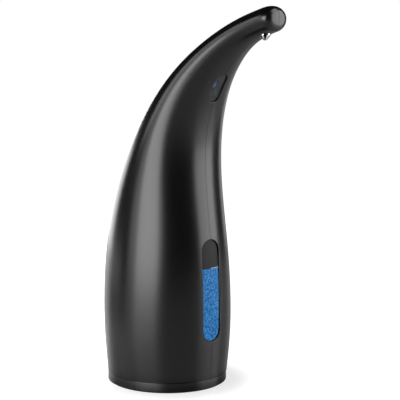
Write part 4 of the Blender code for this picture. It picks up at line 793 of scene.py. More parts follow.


# Level window
# A clear polycarbonate strip, snapped in behind the slot so that it sits 1 mm below the skin. Its
# finish shows the soap up to its level, a thin line of painted shade with a painted glint along the
# soap's surface, and the empty tank above.
WINDOW_RECESS = 0.0010
WINDOW_THICKNESS = 0.0016
LINE_ROOM = 0.0012
EMPTY_LOOK = (0.017, 0.017, 0.018, 1)
SURFACE_SHADE_LOOK = (0.006, 0.012, 0.060, 1)
GLINT_LOOK = (0.42, 0.56, 0.80, 1)
BLACK, WHITE = (0, 0, 0, 1), (1, 1, 1, 1)


def skin_sheet(name, share, angle, outline, top, bottom, rows, sides=192):
    """A piece of the horn's wall between two depths, cut to an outline square to the skin."""
    reach = max(abs(y) for _, y in outline) * 1.12 / skin_stretch(share, angle)
    low, high = share - reach, share + reach
    sheet = swept(name, horn_rows(top, low, high, rows, 0), sides)
    carve(sheet, "DIFFERENCE",
          swept("inside", horn_rows(bottom, low - 0.01, high + 0.01, rows, 0), sides))
    return carve(sheet, "INTERSECT", skin_cutter("outline", share, angle,
                                                 [(outline, OUTSIDE), (outline, bottom + 0.004)]))


window = skin_sheet("level_window", window_share, FRONT,
                    slot_outline(WINDOW_LENGTH - 2 * GAP, WINDOW_WIDTH - 2 * GAP), WINDOW_RECESS,
                    WINDOW_RECESS + WINDOW_THICKNESS, 60)
window_finish, tree, shader = new_finish("clear_window")
place = added(tree, "ShaderNodeTexCoord").outputs["Object"]
axes = added(tree, "ShaderNodeSeparateXYZ", {"Vector": place}).outputs
height = ranged(tree, axes["Z"], SOAP_LEVEL - LINE_ROOM, SOAP_LEVEL + LINE_ROOM, 0, 1)
aside = ranged(tree, axes["Y"], -LINE_ROOM, LINE_ROOM, 0, 1)
mottle = added(tree, "ShaderNodeTexNoise",
               {"Vector": place, "Scale": 1000, "Detail": 2, "Roughness": 0.6})
speckle = colour_ramp(tree, mottle.outputs["Fac"], ((0.46, (0.004, 0.090, 0.290, 1)),
                                                    (0.55, (0.050, 0.260, 0.610, 1))))
# Painted shade: a thin dark line along the soap's surface, then the empty tank above it.
above = colour_ramp(tree, height, ((0.38, (0, 0, 0, 0)), (0.42, SURFACE_SHADE_LOOK), (0.66, SURFACE_SHADE_LOOK),
                                   (0.70, EMPTY_LOOK)))
# Painted highlight: a glint along the soap's surface, towards one side of the window.
glint = colour_ramp(tree, height, ((0.46, BLACK), (0.50, WHITE), (0.62, WHITE), (0.66, BLACK)))
shine = added(tree, "ShaderNodeMix",
              {"Factor": maths(tree, "MULTIPLY", glint["Color"], aside), 6: above["Color"],
               7: GLINT_LOOK}, data_type="RGBA")
look = added(tree, "ShaderNodeMix",
             {"Factor": above["Alpha"], 6: speckle["Color"], 7: shine.outputs[2]},
             data_type="RGBA")
tree.links.new(look.outputs[2], shader.inputs["Base Color"])
shader.inputs["Roughness"].default_value = 0.42
shader.inputs["Specular IOR Level"].default_value = 0.12
dressed(window, window_finish, "level_window", "housing")


# Sensor
# A smoked lens under the neck. Behind it a small board carries the infrared emitter and receiver
# and a blue indicator light.
SENSOR_RECESS = 0.0010
LENS_THICKNESS = 0.0015
SENSOR_BOARD_DEPTH = 0.0078
BOARD_THICKNESS = 0.0012
LED_RADIUS = 0.0015
LED_LENGTH = 0.0033

lens = skin_sheet("sensor_lens", sensor_share, FRONT,
                  slot_outline(SENSOR_LENGTH - 2 * GAP, SENSOR_WIDTH - 2 * GAP), SENSOR_RECESS,
                  SENSOR_RECESS + LENS_THICKNESS, 40)
dressed(lens, plastic("smoked_lens", (0.040, 0.040, 0.043), 0.16, 300, 0.000004, Alpha=0.62),
        "sensor_lens", "housing")

led_base = -SENSOR_BOARD_DEPTH + BOARD_THICKNESS + GAP
led_shoulder = led_base + LED_LENGTH - LED_RADIUS
led_spacing = (SENSOR_LENGTH - 2 * GAP - 4 * LED_RADIUS) / 2
led_profile = [(LED_RADIUS * math.sin(math.radians(a)),
                led_shoulder + LED_RADIUS * math.cos(math.radians(a))) for a in range(0, 91, 10)]
led_profile += [(LED_RADIUS, led_base), (0, led_base)]
for name, node, slot, offset, colour, glow in (
        ("infrared_emitter", "ir_emitter", "emitter_plastic", -led_spacing, (0.25, 0.27, 0.36), 0),
        ("blue_indicator", "status_led", "blue_indicator", 0, (0.05, 0.20, 0.55), 1.5),
        ("infrared_receiver", "ir_receiver", "receiver_plastic", led_spacing,
         (0.015, 0.015, 0.02), 0)):
    led = lathe(name, led_profile, 40, sensor_matrix @ Matrix.Translation((0, offset, 0)))
    finish = plastic(name, colour, 0.15, 600, 0.000004)
    if glow:
        shader = finish.node_tree.nodes["Principled BSDF"]
        shader.inputs["Emission Color"].default_value = (0.09, 0.36, 1.0, 1)
        shader.inputs["Emission Strength"].default_value = glow
    dressed(led, finish, node, "housing")


# Nozzle
# A turned brass cone, chrome plated, with five shallow flutes. Along the flutes the chrome is
# painted black, a painted reflection of dark surroundings.
# Its flange is clamped between the shell halves.
NOZZLE_TIP_RADIUS = 0.0008
NOZZLE_DROP = 0.0028
NOZZLE_BORE_RADIUS = 0.0005
NOZZLE_FLANGE_RADIUS = 0.0042
NOZZLE_FLANGE = 0.0009
NOZZLE_SHOULDER = 0.0003
NOZZLE_FLUTES = 5
FLUTE_DEPTH = 0.00015
FLUTE_BEARING = math.radians(-50)
VALVE_RADIUS = 0.0021

nozzle_seat = skin(nozzle_share, FRONT, WALL).z
flange = nozzle_seat + (NOZZLE_FLANGE_RADIUS + GAP) * math.tan(math.radians(25))
nozzle_top = flange + NOZZLE_FLANGE
nozzle_tip = nozzle_skin - NOZZLE_DROP
shoulder = nozzle_skin + NOZZLE_SHOULDER
pocket = VALVE_RADIUS + GAP
pocket_floor = nozzle_skin + WALL / 2
profile = eased_profile([(pocket, nozzle_top), (NOZZLE_FLANGE_RADIUS, nozzle_top),
                         (NOZZLE_FLANGE_RADIUS, flange), (NOZZLE_RADIUS, flange, 0),
                         (NOZZLE_RADIUS, shoulder), (NOZZLE_TIP_RADIUS, nozzle_tip),
                         (NOZZLE_BORE_RADIUS, nozzle_tip), (NOZZLE_BORE_RADIUS, pocket_floor, 0),
                         (pocket, pocket_floor, 0)], 0.00025)
nozzle = lathe("nozzle", profile, 120, Matrix.Translation((NOZZLE_REACH, 0, 0)), closed=True)
for vertex in nozzle.data.vertices:
    arm = Vector((vertex.co.x - NOZZLE_REACH, vertex.co.y, 0))
    rise = (vertex.co.z - nozzle_tip) / (shoulder - nozzle_tip)
    cone = NOZZLE_TIP_RADIUS + (NOZZLE_RADIUS - NOZZLE_TIP_RADIUS) * rise
    if rise < 1 and arm.length > max(cone - 0.0003, NOZZLE_BORE_RADIUS + 0.00005):
        turn = math.cos(NOZZLE_FLUTES * (math.atan2(arm.y, arm.x) - FLUTE_BEARING))
        share = min((arm.length - NOZZLE_BORE_RADIUS) / (NOZZLE_TIP_RADIUS - NOZZLE_BORE_RADIUS),
                    (1 - rise) * 20, 1)
        vertex.co -= arm.normalized() * FLUTE_DEPTH * share * max(turn + 0.3, 0) / 1.3
chrome = plastic("chrome", (0.95, 0.95, 0.96), 0.10, 800, 0.000003, 0.02, 1.02, Metallic=1.0)
tree, shader = chrome.node_tree, chrome.node_tree.nodes["Principled BSDF"]
place = added(tree, "ShaderNodeTexCoord").outputs["Object"]
axes = added(tree, "ShaderNodeSeparateXYZ", {"Vector": place}).outputs
bearing = maths(tree, "ARCTAN2", axes["Y"], maths(tree, "SUBTRACT", axes["X"], NOZZLE_REACH))
wave = maths(tree, "COSINE", maths(tree, "MULTIPLY_ADD", bearing, NOZZLE_FLUTES,
                                   -NOZZLE_FLUTES * FLUTE_BEARING))
# Painted reflection: the chrome turns black along each flute.
painted_dark_reflections = colour_ramp(tree, wave, ((0, (0.95, 0.95, 0.96, 1)), (0.12, (0.004, 0.004, 0.005, 1))))
tree.links.new(painted_dark_reflections["Color"], shader.inputs["Base Color"])
dressed(nozzle, chrome, "nozzle", "housing")


# Control panel
# A polished bezel welded into the back of the housing, with a satin plus and minus button. Their
# marks are sunk and filled with white paint.
BUTTON_RADIUS = 0.0045
BUTTON_SPACING = 0.0170
BUTTON_TRAVEL = 0.0008
BUTTON_RISE = 0.0004
CONTROL_BOARD_DEPTH = 0.0084
SWITCH_HEIGHT = 0.0018
MARK_REACH = 0.0017
MARK_HALF = 0.00028
MARK_DEPTH = 0.0002

bezel = skin_sheet("control_bezel", panel_share, BACK,
                   slot_outline(PANEL_LENGTH - 2 * GAP, PANEL_WIDTH - 2 * GAP), 0, WALL, 60)
board_top = -CONTROL_BOARD_DEPTH
corners = [(x * PANEL_WIDTH, y * PANEL_LENGTH) for x in (-0.32, 0.32) for y in (-0.38, 0.38)]
carve(bezel, "UNION", *[rod("leg", BARB_RADIUS / 2, (x, y, board_top + GAP), (x, y, -WALL * 0.8), 16,
                            panel_matrix) for x, y in corners])
carve(bezel, "DIFFERENCE", *[rod("button_hole", BUTTON_RADIUS + GAP, (0, y, -3 * WALL),
                                 (0, y, 2 * WALL), 64, panel_matrix)
                             for y in (-BUTTON_SPACING / 2, BUTTON_SPACING / 2)])
dressed(bezel, plastic("polished_black", (0.004, 0.004, 0.0042), 0.12, 500, 0.000004),
        "control_bezel", "housing")

button_finish = plastic("button_grey", (0.022, 0.022, 0.024), 0.38, 2600, 0.00001)
mark_paint = plastic("white_paint", (0.62, 0.62, 0.60), 0.55, 1800, 0.00001)
stem_end = board_top + GAP + SWITCH_HEIGHT + BUTTON_TRAVEL + GAP / 2
collar_top = -WALL - BUTTON_RADIUS ** 2 / (2 * BASE_RADIUS) - 3 * GAP
collar_bottom = collar_top - 2 * GAP
collar = BUTTON_RADIUS + 2.5 * GAP
profile = eased_profile([(0, BUTTON_RISE), (BUTTON_RADIUS, BUTTON_RISE, 0.0005),
                         (BUTTON_RADIUS, collar_top, 0), (collar, collar_top, 0),
                         (collar, collar_bottom, 0), (BUTTON_RADIUS / 3, collar_bottom, 0),
                         (BUTTON_RADIUS / 3, stem_end, 0), (0, stem_end)], 0.0005, 5)
for name, node, y in (("plus_key", "plus_button", BUTTON_SPACING / 2),
                      ("minus_key", "minus_button", -BUTTON_SPACING / 2)):
    place = panel_matrix @ Matrix.Translation((0, y, 0))
    button = lathe(name, profile, 64, place)
    arms = [(MARK_REACH, MARK_HALF, MARK_DEPTH)]
    if node == "plus_button":
        arms.append((MARK_HALF, MARK_REACH, 1.05 * MARK_DEPTH))
    carve(button, "DIFFERENCE", *[block("arm", (-half_x, -half_y, BUTTON_RISE - depth),
                                        (half_x, half_y, BUTTON_RISE + 0.001), place)
                                  for half_x, half_y, depth in arms])
    smooth(button)
    button.data.materials.clear()
    button.data.materials.append(button_finish)
    button.data.materials.append(mark_paint)
    for face in button.data.polygons:
        centre = place.inverted() @ face.center
        sunk = 0.25 * MARK_DEPTH < BUTTON_RISE - centre.z < 1.5 * MARK_DEPTH
        if sunk and math.hypot(centre.x, centre.y) < MARK_REACH + 0.0003:
            face.material_index = 1
    fitted(button, node, name)


# Filler cap
# A push-in cap on the back of the neck, moulded to the skin's curve, with a notch for a fingernail
# and a ring seal on its plug.
CAP_DEPTH = 0.0105
SEAL_RADIUS = 0.0005
PLUG_WALL = 0.0018
NOTCH_DEPTH = 0.0011

disc = [(1.25 * CAP_RADIUS * math.cos(2 * math.pi * i / 96),
         1.25 * CAP_RADIUS * math.sin(2 * math.pi * i / 96)) for i in range(96)]
cap = skin_sheet("filler_cap", cap_share, BACK, disc, 0, CAP_THICKNESS, 60)
carve(cap, "INTERSECT", rod("disc", CAP_RADIUS, (0, 0, -3 * CAP_THICKNESS),
                            (0, 0, 2 * CAP_THICKNESS), 96, cap_matrix))
plug_radius = NECK_RADIUS - NECK_WALL - GAP
groove = plug_radius - 2 * SEAL_RADIUS
seal_height = -(neck_depth + CAP_DEPTH) / 2
half_groove = SEAL_RADIUS + GAP
start = -CAP_THICKNESS / 2
hollow = plug_radius - PLUG_WALL - SEAL_RADIUS
profile = [(plug_radius, start), (plug_radius, seal_height + half_groove),
           (groove, seal_height + half_groove), (groove, seal_height - half_groove),
           (plug_radius, seal_height - half_groove), (plug_radius, -CAP_DEPTH),
           (hollow, -CAP_DEPTH), (hollow, start)]
carve(cap, "UNION", lathe("plug", profile, 96, cap_matrix, closed=True))
carve(cap, "DIFFERENCE", block("notch", (-CAP_RADIUS / 3, -CAP_RADIUS - CUT_PAST, -NOTCH_DEPTH),
                               (CAP_RADIUS / 3, -CAP_RADIUS + NOTCH_DEPTH, CUT_PAST), cap_matrix))
dressed(cap, housing_finish, "filler_cap", "cap")


# Base cover and foot
# A twist-off cover that closes the battery tray, with three bayonet lugs, and a rubber pad let into
# its underside.
FLOOR_HEIGHT = 0.0009
FLOOR_TOP = 0.0032
CHAMFER = 0.0009
SPIGOT_RADIUS = 0.0332
SPIGOT_THICKNESS = 0.0016
LUG_REACH = 0.0014
LUG_HEIGHT = 0.0015
LUG_BOTTOM = 0.0069
FOOT_RIM = 0.0060
FOOT_GROOVE = 0.0005
FOOT_CENTRE = 0.0120

cover_inside = BASE_RADIUS - WALL - GAP
spigot_top = LUG_BOTTOM + LUG_HEIGHT + GAP / 2
pad_radius = BASE_RADIUS - 2 * CHAMFER
recess = FLOOR_HEIGHT + (FLOOR_TOP - FLOOR_HEIGHT) / 3
spigot_inner = SPIGOT_RADIUS - SPIGOT_THICKNESS
profile = eased_profile([(0, FLOOR_TOP), (spigot_inner, FLOOR_TOP, 0), (spigot_inner, spigot_top),
                         (SPIGOT_RADIUS, spigot_top), (SPIGOT_RADIUS, FLOOR_TOP, 0),
                         (cover_inside, FLOOR_TOP, 0), (cover_inside, SEAM_HEIGHT - GAP / 2),
                         (BASE_RADIUS, SEAM_HEIGHT - GAP / 2), (BASE_RADIUS, FLOOR_HEIGHT, CHAMFER),
                         (pad_radius + GAP, FLOOR_HEIGHT), (pad_radius + GAP, recess, 0),
                         (0, recess)], 0.0002, 4)
cover = lathe("base_cover", profile, 192)


def bent_block(name, inner, outer, bottom, top, middle, sweep, count=12):
    """A block bent round Z. Its middle and sweep are in degrees."""
    bm = bmesh.new()
    rings = []
    for radius, height in ((inner, bottom), (outer, bottom), (outer, top), (inner, top)):
        rings.append([bm.verts.new((radius * math.cos(a), radius * math.sin(a), height))
                      for a in (math.radians(middle - sweep / 2 + sweep * i / count)
                                for i in range(count + 1))])
    for k in range(4):
        first, second = rings[k], rings[(k + 1) % 4]
        for i in range(count):
            bm.faces.new((first[i], first[i + 1], second[i + 1], second[i]))
    bm.faces.new([ring[0] for ring in rings])
    bm.faces.new([ring[-1] for ring in rings])
    return as_object(name, bm)


carve(cover, "UNION", *[bent_block("lug", SPIGOT_RADIUS - SPIGOT_THICKNESS / 2,
                                   SPIGOT_RADIUS + LUG_REACH, LUG_BOTTOM, LUG_BOTTOM + LUG_HEIGHT,
                                   120 * i, 24) for i in range(3)])
dressed(cover, housing_finish, "base_cover", "base")

profile = eased_profile([(0, recess - GAP), (pad_radius, recess - GAP), (pad_radius, 0),
                         (pad_radius - FOOT_RIM, 0), (pad_radius - FOOT_RIM, FOOT_GROOVE),
                         (FOOT_CENTRE, FOOT_GROOVE), (FOOT_CENTRE, 0), (0, 0)], 0.0002, 3)
foot = lathe("foot_pad", profile, 160)
dressed(foot, plastic("black_rubber", (0.012, 0.012, 0.012), 0.75, 1800, 0.00005), "foot_pad",
        "base")


# Battery cells
# Four AAA cells, turned end for end in turn. Each is a steel can with a nickel button, and a printed
# sleeve that is shrunk over its edges.
CELL_RADIUS = 0.00525
CELL_LENGTH = 0.0445
CELL_NUB_RADIUS = 0.0019
CELL_NUB = 0.0010
CELL_PITCH = 0.0112
CELL_HEIGHT = 0.0147
CRIMP_SHARES = (0.72, 0.74, 0.76, 0.78)
SLEEVE_BLUE = (0.012, 0.016, 0.030)


def metal(name, colour, roughness, stretch=(1, 1, 1), grain=1400, depth=0.000003, spread=0.06):
    """Bare or plated metal, with the streaks of drawing or turning."""
    return plastic(name, colour, roughness, grain, depth, spread, 1.12, stretch, Metallic=1.0)


sleeve = plastic("cell_sleeve", SLEEVE_BLUE, 0.28, 700, 0.000003)
tree, shader = sleeve.node_tree, sleeve.node_tree.nodes["Principled BSDF"]
down_cell = added(tree, "ShaderNodeAttribute", attribute_name="down_cell")
bands = colour_ramp(tree, down_cell.outputs["Fac"],
                    ((0, (0.62, 0.30, 0.12, 1)), (0.27, (0.70, 0.70, 0.72, 1)),
                     (0.285, (*SLEEVE_BLUE, 1))), "CONSTANT")
tree.links.new(bands["Color"], shader.inputs["Base Color"])
cell_steel = metal("cell_steel", (0.66, 0.65, 0.62), 0.28)

half = CELL_LENGTH / 2
rim = half - CELL_NUB
dip = CELL_NUB / 3
nub_foot, end_foot, sleeve_edge, end_rim = (share * CELL_RADIUS for share in CRIMP_SHARES)
profile = eased_profile([(0, half), (CELL_NUB_RADIUS, half, 0.0002), (CELL_NUB_RADIUS, rim - dip, 0),
                         (nub_foot, rim - dip, 0), (end_rim, rim), (CELL_RADIUS, rim, 0.0004),
                         (CELL_RADIUS, -half, 0.0004), (end_rim, -half), (end_foot, dip - half, 0),
                         (0, dip - half)], 0.0001)
for i in range(4):
    way = 1 if i % 2 == 0 else -1
    y = CELL_PITCH * (i - 1.5)
    cell = lathe(f"cell_{i + 1}", profile, 72, Matrix.Translation((0, y, CELL_HEIGHT))
                 @ Matrix.Rotation(way * math.pi / 2, 4, "Y"))
    values = cell.data.attributes.new("down_cell", "FLOAT", "POINT").data
    for slot, vertex in zip(values, cell.data.vertices):
        slot.value = 0.5 - way * vertex.co.x / CELL_LENGTH
    cell.data.materials.append(sleeve)
    cell.data.materials.append(cell_steel)
    for face in cell.data.polygons:
        corners = [cell.data.vertices[k].co for k in face.vertices]
        inner = min(math.hypot(corner.y - y, corner.z - CELL_HEIGHT) for corner in corners)
        face.material_index = 0 if inner > sleeve_edge else 1
    smooth(cell)
    fitted(cell, f"battery_cell_{i + 1}", "housing")


# Battery contacts
# Plates of nickel-plated spring steel in slots of the tray, pressed out to a pip for a button and
# with a coiled spring riveted on for a flat end.
CONTACT_ROOM = 0.0034
CONTACT_THICKNESS = 0.0004
CONTACT_SHARE = 0.72
SPRING_RADIUS = 0.0030
SPRING_WIRE_RADIUS = 0.00030
SPRING_TURNS = 2
SPRING_TAPER = 0.42
SPRING_STEPS = 80


def bar_tree():
    """Draws a round bar along a line of points."""
    tree, given, result = node_group(
        "GeometryNodeTree", "round_bar",
        {"Line": "Geometry", "Radius": "Float", "Sides": "Int", "Finish": "Material"},
        {"Bar": "Geometry"})
    line = added(tree, "GeometryNodeMeshToCurve", {"Mesh": given["Line"]})
    ring = added(tree, "GeometryNodeCurvePrimitiveCircle",
                 {"Radius": given["Radius"], "Resolution": given["Sides"]})
    drawn = added(tree, "GeometryNodeCurveToMesh",
                  {"Curve": line.outputs["Curve"], "Profile Curve": ring.outputs["Curve"],
                   "Fill Caps": True})
    end_tree(tree, drawn.outputs["Mesh"], given["Finish"], result["Bar"])
    return tree


round_bar = bar_tree()


def bar(name, points, radius, sides=16):
    """A closed round bar through the points."""
    line = bpy.data.meshes.new(name + "_line")
    line.from_pydata([tuple(point) for point in points],
                     [(i, i + 1) for i in range(len(points) - 1)], [])
    bm = bmesh.new()
    bm.from_mesh(grown(name, line, round_bar, {"Radius": radius, "Sides": sides}))
    bmesh.ops.remove_doubles(bm, verts=bm.verts, dist=WELD / 2)
    return as_object(name, bm)


nickel = metal("nickel_plate", (0.70, 0.67, 0.60), 0.24, (1, 1, 12))
outermost, inner = 1.5 * CELL_PITCH, CELL_PITCH / 2
reach = CELL_RADIUS * CONTACT_SHARE
back_x = CELL_LENGTH / 2 + CONTACT_ROOM - GAP
face_x = back_x - CONTACT_THICKNESS
plate_x = face_x + CONTACT_THICKNESS / 2
tip_x = CELL_LENGTH / 2 + GAP + SPRING_WIRE_RADIUS
pip_length = plate_x - CELL_LENGTH / 2 - GAP
pip = eased_profile([(0, pip_length), (0.6 * CELL_NUB_RADIUS, pip_length), (0.8 * CELL_NUB_RADIUS, 0),
                     (0, 0)], 0.0005, 5)
for node, side, first, last, spring_y in (
        ("bridge_contact_1", 1, -outermost, -inner, -inner),
        ("bridge_contact_2", -1, -inner, inner, inner),
        ("bridge_contact_3", 1, inner, outermost, outermost),
        ("negative_terminal", -1, -outermost, -outermost, -outermost),
        ("positive_terminal", -1, outermost, outermost, None)):
    ends = sorted((side * back_x, side * face_x))
    contact = block(node.replace("_", "_plate_", 1),
                    (ends[0], first - reach, CELL_HEIGHT - reach),
                    (ends[1], last + reach, CELL_HEIGHT + reach), ease=0.00012)
    for y in sorted({first, last}):
        if y == spring_y:
            points = []
            for k in range(SPRING_STEPS + 1):
                share = k / SPRING_STEPS
                radius = SPRING_RADIUS * (1 - SPRING_TAPER * share)
                angle = 2 * math.pi * SPRING_TURNS * share
                points.append((side * (plate_x + (tip_x - plate_x) * share),
                               y + radius * math.cos(angle), CELL_HEIGHT + radius * math.sin(angle)))
            carve(contact, "UNION", bar("spring", points, SPRING_WIRE_RADIUS, 12))
        else:
            carve(contact, "UNION",
                  lathe("pip", pip, 40, Matrix.Translation((side * plate_x, y, CELL_HEIGHT))
                        @ Matrix.Rotation(-side * math.pi / 2, 4, "Y")))
    dressed(contact, nickel, node, "housing")


# Motor and gears
# A flat-sided can motor of drawn steel with a moulded end cap, its shaft and brass pinion, and the
# moulded spur gear that it drives. The same teeth, larger, pump the soap.
MOTOR_RADIUS = 0.0100
MOTOR_FLAT = 0.0075
MOTOR_LENGTH = 0.0250
MOTOR_FACE = -0.0040
MOTOR_AXIS_X = -0.0130
MOTOR_AXIS_HEIGHT = 0.0380
MOTOR_SHAFT_RADIUS = 0.0010
NOSE_RADIUS = 0.0030
GEAR_MODULE = 0.0006
GEAR_WIDTH = 0.0040
BRACKET_THICKNESS = 0.0020
PUMP_MODULE = 0.0010
ROTOR_WIDTH = 0.0076
PUMP_WALL = 0.0020
PUMP_SHAFT_RADIUS = 0.0015
IDLER_PIN_RADIUS = 0.0012
SPUR_TEETH = 30
PINION_TEETH = 10
ROTOR_TEETH = 12
PRESSURE_ANGLE = 25
ADDENDUM_SHARE = 0.82
DEDENDUM_SHARE = 1.10
BACKLASH_SHARE = 0.16
TOOTH_EASE = 0.00012
FLAT_EASE = 0.0008
FACE_HOLE_RADIUS = 0.0009
FACE_HOLE_REACH = 0.0062
BRUSH_REACH = 0.0045
TAB_REACH = 0.0050
TAB_RADIUS = 0.0011
HOLE_RADIUS = 0.0012

pump_height = MOTOR_AXIS_HEIGHT + (SPUR_TEETH + PINION_TEETH) * GEAR_MODULE / 2
idler_x = MOTOR_AXIS_X - ROTOR_TEETH * PUMP_MODULE
port_x = (MOTOR_AXIS_X + idler_x) / 2
bracket_face = MOTOR_FACE + GAP
bracket_end = bracket_face + BRACKET_THICKNESS
gear_face = bracket_end + 2 * GAP
gear_end = gear_face + GEAR_WIDTH
pump_face = gear_end + 2 * GAP
chamber_face = pump_face + PUMP_WALL
chamber_end = chamber_face + ROTOR_WIDTH + 2 * GAP
cover_face = chamber_end + GAP
cover_end = cover_face + PUMP_WALL


def at_axis(x, z):
    """A frame whose Z runs along Y."""
    return Matrix.Translation((x, 0, z)) @ Matrix.Rotation(-math.pi / 2, 4, "X")


def gear_outline(teeth, module, points, phase=0.0):
    """Involute outline with stub teeth. A tooth lies on +X, turned on by phase degrees."""
    pitch = teeth * module / 2
    pressure = math.radians(PRESSURE_ANGLE)
    base = pitch * math.cos(pressure)
    tip = pitch + ADDENDUM_SHARE * module
    root = pitch - DEDENDUM_SHARE * module
    foot = max(base, root)

    def half_angle(radius):
        slope = math.acos(min(base / radius, 1))
        return (math.pi / (2 * teeth) - BACKLASH_SHARE * module / (2 * pitch)
                + math.tan(pressure) - pressure - math.tan(slope) + slope)

    side = [(root, half_angle(foot))] if root < foot - 1e-6 else []
    for i in range(points):
        radius = foot + (tip - foot) * i / (points - 1)
        side.append((radius, half_angle(radius)))
    outline = []
    for tooth in range(teeth):
        middle = 2 * math.pi * tooth / teeth + math.radians(phase)
        outline += [(r * math.cos(middle - a), r * math.sin(middle - a)) for r, a in side]
        outline += [(r * math.cos(middle + a), r * math.sin(middle + a)) for r, a in reversed(side)]
    return outline


def toothed(name, outline, low, high, ease, matrix):
    """A toothed solid between two heights, with the ends of its teeth eased."""
    largest = max(math.hypot(x, y) for x, y in outline)
    bm = bmesh.new()
    rings = []
    for height, shrink in ((low, ease), (low + ease, 0), (high - ease, 0), (high, ease)):
        size = 1 - shrink / largest
        rings.append([bm.verts.new((x * size, y * size, height)) for x, y in outline])
    for lower, upper in zip(rings, rings[1:]):
        for i in range(len(outline)):
            j = (i + 1) % len(outline)
            bm.faces.new((lower[i], lower[j], upper[j], upper[i]))
    bmesh.ops.triangulate(bm, faces=[bm.faces.new(rings[0]), bm.faces.new(rings[-1])])
    return as_object(name, bm, matrix)


motor_steel = metal("zinc_plated_steel", (0.60, 0.61, 0.62), 0.30, (1, 9, 1))
turned_steel = metal("turned_steel", (0.66, 0.66, 0.67), 0.20, (1, 0.2, 1), 2400)
brass = metal("brass", (0.80, 0.58, 0.24), 0.27, (1, 0.3, 1))
acetal = plastic("natural_acetal", (0.74, 0.73, 0.69), 0.40, 1200, 0.00001)
pump_plastic = plastic("pump_plastic", (0.66, 0.67, 0.66), 0.46, 900, 0.00002)

motor_back = MOTOR_FACE - MOTOR_LENGTH
nose_end = bracket_end - GAP
motor_axis = at_axis(MOTOR_AXIS_X, MOTOR_AXIS_HEIGHT)
far = 2 * MOTOR_RADIUS
can = lathe("motor_can_drawn",
            eased_profile([(0, motor_back), (MOTOR_RADIUS, motor_back, 0.0003),
                           (MOTOR_RADIUS, MOTOR_FACE, 0.0010), (NOSE_RADIUS, MOTOR_FACE, 0.0003),
                           (NOSE_RADIUS, nose_end, 0.0003), (0, nose_end)], 0.0003, 5),
            96, motor_axis)
carve(can, "INTERSECT", block("flats", (-far, -MOTOR_FLAT, motor_back - far),
                              (far, MOTOR_FLAT, nose_end + far), motor_axis, FLAT_EASE, 4))
carve(can, "DIFFERENCE", rod("bearing", MOTOR_SHAFT_RADIUS + GAP,
                             (0, 0, MOTOR_FACE - MOTOR_LENGTH / 3 - GAP), (0, 0, nose_end + GAP), 48,
                             motor_axis),
      *[rod("face_hole", FACE_HOLE_RADIUS, (x, 0, MOTOR_FACE - 0.001), (x, 0, MOTOR_FACE + GAP), 32,
            motor_axis) for x in (-FACE_HOLE_REACH, FACE_HOLE_REACH)])
dressed(can, motor_steel, "motor_can", "housing")

cap_end = motor_back - GAP - PUMP_WALL
flat, edge, top = MOTOR_FLAT - GAP, MOTOR_RADIUS - GAP, motor_back - GAP
end_cap = lathe("motor_cap_moulded",
                eased_profile([(0, cap_end), (0.7 * MOTOR_RADIUS, cap_end), (edge, cap_end + 0.0006),
                               (edge, top), (0, top)], 0.0003), 96, motor_axis)
carve(end_cap, "INTERSECT", block("flats", (-far, -flat, cap_end - far),
                                  (far, flat, motor_back + far), motor_axis, FLAT_EASE, 4))
carve(end_cap, "DIFFERENCE", *[block("brush_slot", (-0.0015, y - 0.0005, cap_end - GAP),
                                     (0.0015, y + 0.0005, cap_end + 0.0008), motor_axis)
                               for y in (-BRUSH_REACH, BRUSH_REACH)])
dressed(end_cap, acetal, "motor_end_cap", "housing")
tab_end = cap_end - 1.6 * GAP
profile = eased_profile([(0, cap_end + GAP / 2), (TAB_RADIUS, cap_end + GAP / 2),
                         (TAB_RADIUS - GAP, tab_end), (0, tab_end)], 0.0003)
for name, side in (("solder_tab_red", -1), ("solder_tab_black", 1)):
    tab = lathe(name, profile, 32, at_axis(MOTOR_AXIS_X + side * TAB_REACH, MOTOR_AXIS_HEIGHT))
    dressed(tab, brass, None, "housing")

for name, node, body, radius, low, high, x, z in (
        ("motor_shaft_turned", "motor_shaft", "motor_rotor", MOTOR_SHAFT_RADIUS,
         MOTOR_FACE - MOTOR_LENGTH / 3, gear_end, MOTOR_AXIS_X, MOTOR_AXIS_HEIGHT),
        ("drive_shaft_turned", "pump_drive_shaft", "pump_drive", PUMP_SHAFT_RADIUS, bracket_face,
         cover_face - GAP, MOTOR_AXIS_X, pump_height),
        ("idler_pin_turned", "idler_pin", "housing", IDLER_PIN_RADIUS, pump_face, cover_face - GAP,
         idler_x, pump_height)):
    profile = eased_profile([(0, low), (radius, low), (radius, high), (0, high)], 0.0003)
    shaft = lathe(name, profile, 48, at_axis(x, z))
    dressed(shaft, turned_steel, node, body)

